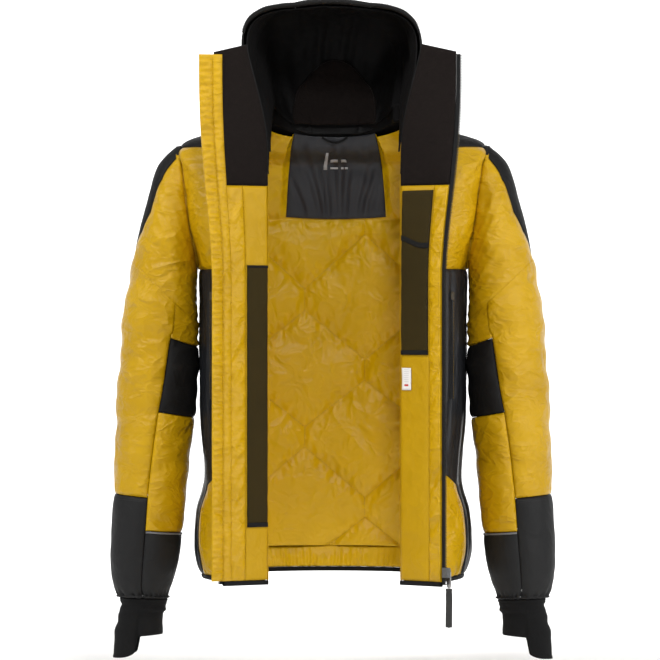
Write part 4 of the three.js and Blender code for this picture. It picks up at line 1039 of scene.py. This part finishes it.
def make_front(name):
    f = FRONTS[name]
    k, width = f["k"], f["width"]
    drape = drapes[f"{name}_front"]
    body = f"front_{name}"
    low, top = -FRONT_HEM, -NECK_DROP
    bind_top = low + BINDING
    tape_edge = width - CHAIN - 5.5
    behind = Surface(front[name].at, k)
    back_drape = lambda u, z: -drape(u, z) * 0.6
    rows = int((top - bind_top) / 4.5)
    piece = cloth(f"{name}_front_cloth", behind, grid(1.5, tape_edge - 0.6, bind_top + 0.6, top - 0.3, 26, rows), back_drape,
                  2 * HINGE_R, lift=HINGE_R, tuck=0.5, puff=0.5)
    finish(piece, mustard, "mustard_nylon", body, f"{name}_front_shell")
    crease = slant_creases(-k, 1.7)
    if k < 0:
        front_piece(name, "front_facing_cloth", 2.2, 44, bind_top + 1, top - 1, LAYER_1 + FACING, FACING, 16, facing_nylon,
                    "mustard_nylon", [f"{name}_front_facing"], tuck=0.5)
        front_piece(name, "front_strip", 44.2, 74, bind_top + 1, top - 1, LAYER_1 + FACING + 0.2, FACING, 14, mustard,
                    "mustard_nylon", puff=1.0, relief=crease)
        z0, z1 = bind_top + 1, WING_TOP - 4
        front_piece(name, "storm_flap_base", 72.5, 88.5, z0, z1, LAYER_1 + LINING + 1 + FACING, FACING, 8, mustard,
                    "mustard_nylon", relief=lambda u, z, p, e: ruching(u, z, p, e) * 0.4, puff=0.5, step=1.9)
        front_piece(name, "storm_flap_edge", 88.2, width + 15, z0, z1, LAYER_1 + LINING + 1.1 + FACING, FACING, 12, mustard,
                    "mustard_nylon", [f"{name}_storm_flap"], relief=ruching, puff=0.9, step=1.9)
        for u in (74.1, 86.9, 90.0):
            front_stitch(name, u, z0 + 3, z1 - 2, LAYER_1 + LINING + 1 + FACING + 0.2)
        front_stitch(name, 45.8, bind_top + 3, top - 3, LAYER_1 + FACING + 0.1)
        pocket = (4, 42, -607, -206)
    else:
        front_piece(name, "front_facing_cloth", 2.2, 64, bind_top + 1, top - 1, LAYER_1 + FACING, FACING, 18, facing_nylon,
                    "mustard_nylon", [f"{name}_front_facing"], tuck=0.5)
        front_piece(name, "front_strip", 64.2, tape_edge - 0.4, bind_top + 1, top - 1, LAYER_1 + FACING + 0.2, FACING, 14,
                    mustard, "mustard_nylon", puff=1.0, relief=crease)
        front_stitch(name, 65.8, bind_top + 3, top - 3, LAYER_1 + FACING + 0.1)
        front_stitch(name, tape_edge - 2.6, bind_top + 3, top - 3, LAYER_1 + FACING + 0.4)
        pocket = (6, 63, -343, -92)
    # the mesh pocket, with its elastic mouth and its turned foot
    u0, u1, z0, z1 = pocket
    top_lift = LAYER_2 + FACING
    front_piece(name, "mesh_pocket_cloth", u0, u1, z0, z1, top_lift, FACING, 18, olive_mesh, "olive_mesh",
                [f"{name}_mesh_pocket"], tuck=0.6)
    bands = [(z0, z0 + 7)]
    bands += [(z1 - 4, z1)] if k < 0 else []
    for number, (a, b) in enumerate(bands):
        front_piece(name, f"pocket_band_{number}", u0 - 0.5, u1 + 0.5, a, b, top_lift + 0.8, FACING, 16, binding_tape, "binding_tape",
                    step=1.5, tuck=0.4)
    if k > 0:
        # the mouth slopes down to the free edge and bows open a little
        u, q = np.meshgrid(np.linspace(u0, u1, 24), np.linspace(0, 1, 6))
        z = -160 - 12 * smooth(u0, u1, u) - 3.2 * np.sin(PI * (u - u0) / (u1 - u0)) - 8 * q
        piece = cloth("left_pocket_mouth", front[name], (u, z), drape, FACING, lift=top_lift + 1.1, tuck=0.5, puff=0.5)
        finish(piece, binding_tape, "binding_tape", body)
        front_piece(name, "label_cloth", 8, 28, -397, -363, top_lift, 0.6, 8, label_print, "label", ["left_care_label"], tuck=0.2)
    z = np.linspace(z0, z1, 150)
    for u in (u0 + 1.4, u1 - 1.4):
        dark_lines[body].append(seam_line(front[name], u + 0 * z, z, drape, top_lift + 0.1))
    # the collar's end: fleece inside, black cloth outside
    inner = lambda zz: 34 * smooth(-40, WING_TOP_INNER, zz) ** 1.4
    shell_edge = tape_edge - 0.6

    def wing(margin, drop, cols, rows):
        p, q = np.meshgrid(np.linspace(0, 1, cols), np.linspace(0, 1, rows))
        zz = mix(top + 0.3 + drop, WING_TOP, q)
        uu = mix(inner(zz) + margin, shell_edge, p)
        rise = mix(WING_TOP_INNER, WING_TOP, np.clip(uu / shell_edge, 0, 1))
        return uu, zz + (rise - WING_TOP - drop) * smooth(0.5, 1, q)

    soft = lambda u, zz, p, e: 1.5 * np.sin(zz / 47 + u / 31) * (1 - np.exp(-e / 16))
    piece = cloth(f"{name}_collar_cloth", behind, wing(0, 0, 24, 50), None, 2 * HINGE_R, lift=HINGE_R, tuck=0.6, puff=0.6)
    finish(piece, black, "black_nylon", body, f"{name}_collar_shell")
    piece = cloth(f"{name}_collar_fleece", front[name], wing(1.5, 1.0, 40, 80), None, LINING + 1.2, lift=LAYER_1 + 0.4 + LINING,
                  tuck=1.2, puff=1.4, relief=soft)
    finish(piece, fleece, "fleece", body, f"{name}_collar_facing")
    # the hem's binding wraps the lower edge
    u = np.linspace(0.8, tape_edge - 1, 90)
    loop = np.linspace(0, 2 * PI, 16, endpoint=False)
    front_off = LAYER_1 + FACING + 1.0
    centre_w, half_w = (front_off - HINGE_R - 0.8) / 2, (front_off + HINGE_R + 0.8) / 2
    rib = 1 + 0.05 * np.sin(u * 2.6)[:, None]
    w = centre_w + half_w * rib * np.sign(np.cos(loop)) * abs(np.cos(loop)) ** 0.5
    zz = low + BINDING / 2 + BINDING / 2 * rib * np.sign(np.sin(loop)) * abs(np.sin(loop)) ** 0.6
    base = front[name].at(u[:, None], zz)
    piece = sheet_mesh(f"{name}_hem_tape", base + front[name].normal(u[:, None], zz) * w[..., None],
                       base + front[name].normal(u[:, None], zz) * (0.6 * w + 0.4 * centre_w)[..., None], ring=True)
    finish(piece, binding_tape, "binding_tape", body, f"{name}_front_binding")
    # the zip: its tape and its teeth
    z0, z1 = low + 3, WING_TOP - 4
    front_piece(name, "zip_tape", tape_edge, width - CHAIN + 0.6, z0, z1, 0.9, 1.6, 5, zip_tape, "zip_tape", drape=False, tuck=0.2,
                step=5, relief=lambda u, z, p, e: 0.25 * np.sin((u - tape_edge) * 1.9))
    z = np.arange(z0 + 1, z1 - 1, 2.4)
    corner = np.array([(-1, -1, -1), (1, -1, -1), (1, 1, -1), (-1, 1, -1), (-1, -1, 1), (1, -1, 1), (1, 1, 1), (-1, 1, 1)], float)
    centre = front[name].at(width - CHAIN / 2 + 0 * z, z)
    n = front[name].normal(width - CHAIN / 2 + 0 * z, z)
    out = unit(front[name].at(width + 0 * z, z) - front[name].at(width - 1 + 0 * z, z))
    up = np.array([0, 0, 1.0])
    taper = 1 - 0.25 * (corner[:, 0] + 1) / 2
    tooth = (centre[:, None] + out[:, None] * (corner[:, 0] * (CHAIN / 2))[None, :, None]
             + n[:, None] * (corner[:, 1] * 1.55 * taper)[None, :, None] + up * (corner[:, 2] * 0.8 * taper)[None, :, None])
    sides = np.array([[0, 3, 2, 1], [4, 5, 6, 7], [0, 1, 5, 4], [1, 2, 6, 5], [2, 3, 7, 6], [3, 0, 4, 7]])
    faces = (np.arange(len(z))[:, None, None] * 8 + sides[None]).reshape(-1, 4)
    if k > 0:
        faces = faces[:, ::-1]
    mesh = bpy.data.meshes.new(f"{name}_zip_teeth")
    mesh.from_pydata(tooth.reshape(-1, 3) * MM, [], faces.tolist())
    piece = bpy.data.objects.new(f"{name}_zip_teeth", mesh)
    bpy.context.scene.collection.objects.link(piece)
    bevel = piece.modifiers.new("soft edges", "BEVEL")
    bevel.width, bevel.segments = 0.25 * MM, 1
    finish(piece, teeth_plastic, "zip_tape", body, f"{name}_zip_chain")
    # the cloth rolls over where the front turns back
    angle = np.radians(np.linspace(-95, -(360 - 90 - f["tilt"]) + 4, 14))
    heights = np.linspace(low + BINDING, top, 170)
    a, h = np.meshgrid(angle, heights)
    r = 2.7 + 0.35 * np.sin(h / 6 + 2 * np.sin(h / 40))
    outer = point(k * (f["fold"] + 1.0 + r * np.cos(a)), -FRONT_DEPTH - NECK_BACK + 0.4 - r * np.sin(a), h)
    inner_roll = point(k * (f["fold"] + 1.0 + 0.4 * r * np.cos(a)), -FRONT_DEPTH - NECK_BACK + 0.4 - 0.4 * r * np.sin(a), h)
    finish(sheet_mesh(f"{name}_fold_roll", outer, inner_roll), facing_nylon, "mustard_nylon", "torso")


def make_zip_pull():
    for node, material in (("zip_slider", dark_metal), ("zip_puller", pale_metal), ("right_pocket_slider", dark_metal),
                           ("left_pocket_slider", dark_metal)):
        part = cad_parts[node]
        part.data.materials.clear()
        part.data.materials.append(material)
    low, high = (np.array(v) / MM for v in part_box("pull_tape"))
    a = math.radians(18)
    across, out = np.array([math.cos(a), -math.sin(a), 0]), np.array([math.sin(a), math.cos(a), 0])
    middle = (low + high) / 2
    length = high[2] - low[2]
    rows, half = 60, 5.2
    t = np.linspace(0, 1, rows)[:, None, None]
    x = np.linspace(-1, 1, 11)[None, :, None]
    swell = 1 - 0.08 * np.exp(-((t - 0.08) / 0.03) ** 2)
    fray = 1.6 * np.abs(np.sin(x * 17)) * (t > 0.985)
    path = middle + np.array([0, 0, 1.0]) * (length / 2 - t * length + fray) + out * 0.5 * np.sin(t * 5)
    thick = (0.75 + 0.12 * np.sin(t * 150)) * np.sqrt(1 - 0.75 * x ** 4)
    outer = path + across * x * half * swell + out * thick
    inner = path + across * x * half * swell - out * thick
    finish(sheet_mesh("woven_pull_tape", outer, inner), pull_weave, "cord", "puller", "pull_tape")


def make_pocket_zips():
    for name, f in FRONTS.items():
        k = f["k"]
        u, top, length = 1.44, -246, 165
        half = 6 / QUARTER
        heights = (ring_for(top - length), ring_for(top))
        patch = grid(k * (u + half), k * (u - half), *heights, 10, 60)
        piece = cloth(f"{name}_pocket_tape", torso, patch, None, 1.1, lift=1.6, tuck=0.3,
                      relief=lambda uu, s, p, e: 0.5 * np.exp(-((abs(uu) - u) * QUARTER / 1.3) ** 2))
        finish(piece, zip_tape, "zip_tape", "torso", f"{name}_pocket_zip")
        s = np.linspace(*heights, 120)
        for side in (-1, 1):
            stitch_lines["torso"].append(seam_line(torso, k * (u + side * 1.35 * half) + 0 * s, s, drapes["body"], 0.3))
            dark_lines["torso"].append(seam_line(torso, k * (u + side * 0.3 * half) + 0 * s, s, None, 2.2))


# ---------- the hood ----------
def make_hood():
    e = 0.001
    sag = lambda r, t, p, edge: 1.1 * np.sin(t * 3.1 + r * 2.3) * (1 - np.exp(-edge / 18))
    panels = {"hood_crown": (-1 + e, 1 - e, 40), "right_hood_side": (-1 - e, -2, 44), "left_hood_side": (1 + e, 2, 44)}
    for node, (r0, r1, cols) in panels.items():
        piece = cloth(f"{node}_cloth", hood, grid(r0, r1, 0.03, 5, cols, 84), drapes["hood"], SHELL, tuck=1.4, puff=0.8, relief=sag)
        finish(piece, black, "black_nylon", "hood", node)
    for r in (-1.0, 1.0):
        t = np.linspace(0.15, 4.9, 200)
        for side in (-0.055, 0.055):
            dark_lines["hood"].append(seam_line(hood, r + side + 0 * t, t, drapes["hood"], 0.3))
    deep = SHELL + LAYER_GAP

    def slack(r, t, p, edge):
        # loose folds that run up from the neck and across the crown
        wave = np.sin(r * 9 + 1.3 * np.sin(t * 2)) + 0.8 * np.sin(t * 4.4 + r * 2.2) + 0.5 * np.sin(r * 17 + t * 3)
        return 1.6 * wave * (1 - np.exp(-edge / 20)) + 1.4

    piece = cloth("hood_inner_cloth", hood_inside, grid(-1.92, 1.92, 0.1, 4.85, 130, 90), drapes["hood_lining"], LINING,
                  lift=deep + LINING, tuck=0.4, relief=slack)
    finish(piece, hood_inside_cloth, "black_nylon", "hood", "hood_lining")
    r = np.linspace(-1.62, 1.62, 110)[None, :]
    q = np.linspace(0, 1, 44)[:, None]
    t = mix(mix(3.45, 4.7, (r / 1.65) ** 2), 4.85, q)
    nap = lambda rr, tt, p, edge: 2.2 * (1 - np.exp(-edge / 5)) + 0.9 * np.sin(rr * 5 + 1) * (1 - np.exp(-edge / 15))
    piece = cloth("neck_fleece", hood_inside, (r + 0 * t, t), drapes["hood_lining"], LINING, lift=deep + LINING + 3.2, tuck=1.2, relief=nap)
    finish(piece, fleece, "fleece", "hood", "neck_facing")
    t = mix(3.45, 4.7, (r[0] / 1.65) ** 2) + 0.03
    dark_lines["hood"].append(seam_line(hood_inside, r[0], t, drapes["hood_lining"], deep + LINING + 4.4))

    # the brim is a doubled band: it runs along the opening's edge and rolls over
    n = 190
    along = np.linspace(-1.36, 1.36, n)
    angle = np.linspace(0, 2 * PI, 22, endpoint=False)
    wide, thick = 7.2, 3.2
    a, rr = np.meshgrid(angle, along)
    edge_point = hood.at(rr, 0.07 + 0 * rr)
    out = hood.normal(rr, 0.07 + 0 * rr)
    ends = 1 - 0.35 * smooth(0.9, 1, abs(rr) / 1.36)
    ripple = 1 + 0.05 * np.sin(rr * 60) + 0.04 * np.sin(rr * 33 + 1)
    x = np.sign(np.cos(a)) * abs(np.cos(a)) ** 0.55 * wide
    w = np.sign(np.sin(a)) * abs(np.sin(a)) ** 0.7 * thick * ends * ripple - 2.2
    ahead = np.array([0, -1.0, 0.12])
    outer = edge_point + ahead * (8.2 + x)[..., None] + out * w[..., None]
    inner = edge_point + ahead * (8.2 + 0.7 * x)[..., None] + out * (0.4 * w - 1.3)[..., None]
    finish(sheet_mesh("hood_brim_band", outer, inner, ring=True), black, "black_nylon", "hood", "hood_brim")
    for step in (3.2, 13.0):
        path = hood.at(along, 0.07 + 0 * along) + ahead * step + hood.normal(along, 0.07 + 0 * along) * 1.1
        dark_lines["hood"].append((path, hood.normal(along, 0.07 + 0 * along)))


# ---------- the sleeves ----------
def make_sleeve(name):
    k = FRONTS[name]["k"]
    arm, drape, body = sleeve[name], drapes[f"{name}_sleeve"], f"sleeve_{name}"
    joint = ("torso", body, (k * 233, -62, -195), (k * 272, -62, -247))
    g = 0.004

    def panel_of(part, patch, material, slot, rides, relief=None, puff=0.9, seamed=None):
        piece = cloth(f"{name}_{part}_cloth", arm, patch, drape, SHELL, tuck=1.3, puff=puff, relief=relief, seamed=seamed)
        return finish(piece, material, slot, rides, f"{name}_{part}")

    def drag(u, v, p, edge):
        # slack that falls into slanting folds at the elbow
        turn = np.where(u > 2, u - 4, u)
        bend = np.exp(-((v - 4.4) / 1.6) ** 2)
        slant = v * 6.3 - abs(turn) * 2.6
        pull = 1.6 * bend * np.sin(slant + 0.8 * np.sin(v * 2.1)) + 0.8 * np.sin(slant * 2.3 + turn * 1.7 + 1) * (0.35 + bend)
        return pull * (1 - np.exp(-edge / 10))

    def gathered(u, v, p, edge):
        # drawn in by the elastic at the cuff, with a rolled hem at the end
        t = smooth(8.7, 9.6, v)
        hem = smooth(9.62, 9.72, v)
        pleats = gathers(np.where(u > 2, u - 4, u) * 10, 17, 31 + (k > 0)) * 1.9 * t ** 1.5 * (1 - 0.55 * hem)
        return pleats - 2.2 * t + hem * (2.4 + 0.9 * np.sin(PI * (v - 9.65) / 0.35))

    strap = grid(lambda v: strap_edge(v) + g, lambda v: 4 - strap_edge(v) - g, 0, UPPER_END - 0.05, 22, 62)
    panel_of("shoulder_strap", strap, black, "black_nylon", joint, puff=0.4)
    seamless = lambda u, v: 1 - smooth(2.5, 2.8, v)
    foot = lambda u, v: smooth(3.9, 3.97, v)
    below = lambda u, v: smooth(3.85, 4.05, v)
    cap = grid(lambda v: g - strap_edge(v), lambda v: strap_edge(v) - g, 0, UPPER_END, 80, 64)
    panel_of("sleeve_cap", cap, mustard, "mustard_nylon", joint, drag, seamed=seamless)
    # the cap's inner part runs on to the elbow insert
    inner_part = grid(g - CAP_SEAM, CAP_SEAM - g, UPPER_END - 0.05, INNER_END - 0.005, 40, 22)
    piece = cloth(f"{name}_sleeve_cap_inner_cloth", arm, inner_part, drape, SHELL, tuck=1.3, puff=0.9,
                  relief=lambda u, v, p, edge: drag(u, v, p, edge) + 0.12, seamed=foot)
    finish(piece, mustard, "mustard_nylon", joint)
    lap = lambda v: 0.035 * (1 - smooth(3.85, 3.98, v))
    outside = lambda v0, v1, cols, rows: grid(lambda v: front_seam(v) + g - lap(v), lambda v: 4 - front_seam(v) - g + lap(v),
                                              v0, v1, cols, rows)
    lapped = lambda u, v, p, edge: drag(u, v, p, edge) + 0.25 * (1 - smooth(3.85, 4.05, v))
    within = lambda v0, v1, cols, rows: grid(lambda v: g - front_seam(v), lambda v: front_seam(v) - g, v0, v1, cols, rows)
    panel_of("outer_sleeve", outside(UPPER_END - 0.05, GUARD_TOP - 0.005, 64, 92), mustard, "mustard_nylon", body, lapped,
             seamed=below)
    panel_of("elbow_insert", within(INNER_END + 0.005, ELBOW_END - 0.005, 44, 36), black, "black_nylon", body, drag)
    panel_of("forearm", within(ELBOW_END + 0.005, CUFF_TOP - 0.005, 44, 50), mustard, "mustard_nylon", body, drag)
    panel_of("forearm_guard", outside(GUARD_TOP + 0.005, SLEEVE_END, 120, 96), cuff_cloth, "black_nylon", body, gathered, 0.5)
    panel_of("cuff_panel", within(CUFF_TOP + 0.005, SLEEVE_END, 110, 84), cuff_cloth, "charcoal_nylon", body, gathered, 0.5)
    # tapes behind the armhole's seam
    for part, u0, u1, material, slot in (("side", -1.66, 1.66, mustard, "mustard_nylon"), ("top", 1.66, 2.34, black, "black_nylon")):
        u, x = np.meshgrid(np.linspace(u0, u1, 90), np.linspace(-8, 8, 5))
        ring, n = arm.at(u, 0 * u), arm.normal(u, 0 * u + 0.02)
        ring = ring + point(k * x, 0 * x, 0 * x)
        finish(sheet_mesh(f"{name}_armhole_tape_{part}", ring - n * 1.9, ring - n * 3.1), material, slot, "torso")
    # the reflective piping lies in the seam over the inner cuff
    u = np.linspace(-0.98, 0.98, 80)
    centre, n = seam_line(arm, u, CUFF_TOP + 0.03 + 0 * u, drape, 0.4)
    along = unit(np.gradient(centre, axis=0))
    side = np.cross(n, along)
    angle = np.linspace(0, 2 * PI, 12, endpoint=False)[None, :, None]
    ring = centre[:, None] + 1.1 * np.cos(angle) * n[:, None] + 1.5 * np.sin(angle) * side[:, None]
    piece = sheet_mesh(f"{name}_cuff_piping", ring, centre[:, None] + 0 * ring, ring=True)
    finish(piece, reflective, "charcoal_nylon", body)
    t = np.linspace(UPPER_END + 0.1, GUARD_TOP - 0.1, 140)
    t = t[t > INNER_END]
    for turn in (front_seam(t) + 0.035, 4 - front_seam(t) - 0.035):
        stitch_lines[body].append(seam_line(arm, turn, t, drape, -0.1))
    u = np.linspace(1.02, 2.98, 110)
    dark_lines[body].append(seam_line(arm, u, GUARD_TOP + 0.06 + 0 * u, drape, 0.2))
    u = np.linspace(0, 4, 260)
    rolled = seam_line(arm, u, 9.6 + 0 * u, None, 0.1)
    dark_lines[body].append(rolled)


def make_gaiter(name):
    """A ribbed knit gaiter: its outer half hangs down over the back of the hand, its inner half ends at the thumb."""
    wrist, k = gaiter[name], FRONTS[name]["k"]
    u, q = np.meshgrid(np.linspace(0, 4, 161), np.linspace(0, 1, 60))
    away = abs(u - 2)
    end = mix(3.0, 2.42, smooth(0.93, 1.03, away)) - 0.13 * np.clip(away / 0.93, 0, 1) ** 5 * (1 - smooth(0.93, 1.03, away))

    def slouch(u, v, p, edge):
        folds = 1.1 * np.sin(v * 6.1 + np.sin(u * PI / 2) * 1.2) + 0.6 * np.sin(v * 11 + u * PI / 2)
        return folds * (1 - np.exp(-edge / 9)) + 0.7 * np.exp(-((edge - 1.5) / 1.6) ** 2)

    piece = cloth(f"{name}_gaiter_knit", wrist, (u, q * end), None, 2.0, tuck=0.6, ring=True, relief=slouch)
    finish(piece, knit, "rib_knit", f"sleeve_{name}", f"{name}_wrist_gaiter")


make_body()
make_lining()
make_neck_tape()
make_loop_and_mark()
for name in FRONTS:
    make_front(name)
    make_sleeve(name)
    make_gaiter(name)
make_zip_pull()
make_pocket_zips()
make_hood()
for body, lines in stitch_lines.items():
    if lines:
        finish(threads(f"{body}_stitching", lines), mustard_thread, "mustard_nylon", body)
for body, lines in dark_lines.items():
    if lines:
        finish(threads(f"{body}_dark_stitching", lines), dark_thread, "black_nylon", body)


# ---------- the stage ----------
def area_light(name, place, target, size, power, tint=(1, 1, 1)):
    data = bpy.data.lights.new(name, "AREA")
    data.shape, data.size, data.size_y, data.energy, data.color = "RECTANGLE", size[0], size[1], power, tint
    lamp = bpy.data.objects.new(name, data)
    bpy.context.scene.collection.objects.link(lamp)
    lamp.location = place
    d = np.array(target, float) - np.array(place, float)
    lamp.rotation_euler = (math.acos(-d[2] / np.linalg.norm(d)), 0, math.atan2(d[1], d[0]) - PI / 2)


def make_stage():
    floor_z = -0.84
    mesh = bpy.data.meshes.new("floor")
    n = 24
    profile = [(-14, floor_z), (4.0, floor_z)]
    profile += [(4.0 + 3 * math.sin(a), floor_z + 3 - 3 * math.cos(a)) for a in np.linspace(0.05, PI / 2, n)]
    profile += [(7.0, floor_z + 12)]
    points = [(x, y, z) for y, z in profile for x in (-14, 14)]
    mesh.from_pydata(points, [], [(2 * i, 2 * i + 1, 2 * i + 3, 2 * i + 2) for i in range(len(profile) - 1)])
    mesh.polygons.foreach_set("use_smooth", [True] * len(mesh.polygons))
    floor = bpy.data.objects.new("floor", mesh)
    bpy.context.scene.collection.objects.link(floor)
    pale = Finish("pale_floor")
    pale.shader.inputs["Base Color"].default_value = (0.92, 0.92, 0.92, 1)
    pale.shader.inputs["Roughness"].default_value = 0.9
    floor.data.materials.append(pale.material)
    world = bpy.data.worlds.new("studio")
    bpy.context.scene.world = world
    world.use_nodes = True
    world.node_tree.nodes["Background"].inputs[0].default_value = (1, 1, 1, 1)
    world.node_tree.nodes["Background"].inputs[1].default_value = 0.26
    aim = (0, -0.15, -0.3)
    area_light("key", (-2.4, -1.8, 1.9), aim, (0.5, 1.0), 58)
    area_light("fill", (2.7, -1.5, 0.6), aim, (0.4, 1.6), 40)
    area_light("front", (0.5, -3.2, 2.1), aim, (0.5, 0.5), 50)
    area_light("top", (0, -0.8, 2.4), aim, (2.0, 0.8), 14)
    area_light("backdrop", (0, 2.2, 3.4), (0, 6.5, 0.5), (5, 2), 420)


def make_camera():
    data = bpy.data.cameras.new("camera")
    camera = bpy.data.objects.new("camera", data)
    bpy.context.scene.collection.objects.link(camera)
    turn, far = math.radians(2.5), 8.0
    aim = (-0.003, -0.1, -0.305)
    camera.location = (aim[0] + far * math.sin(turn), aim[1] - far * math.cos(turn), aim[2])
    camera.rotation_euler = (PI / 2, 0, turn)
    data.sensor_width = 36
    data.lens = 36 * far / 1.023
    data.clip_end = 60
    bpy.context.scene.camera = camera


make_stage()
make_camera()
bpy.context.scene.view_settings.view_transform = "Standard"
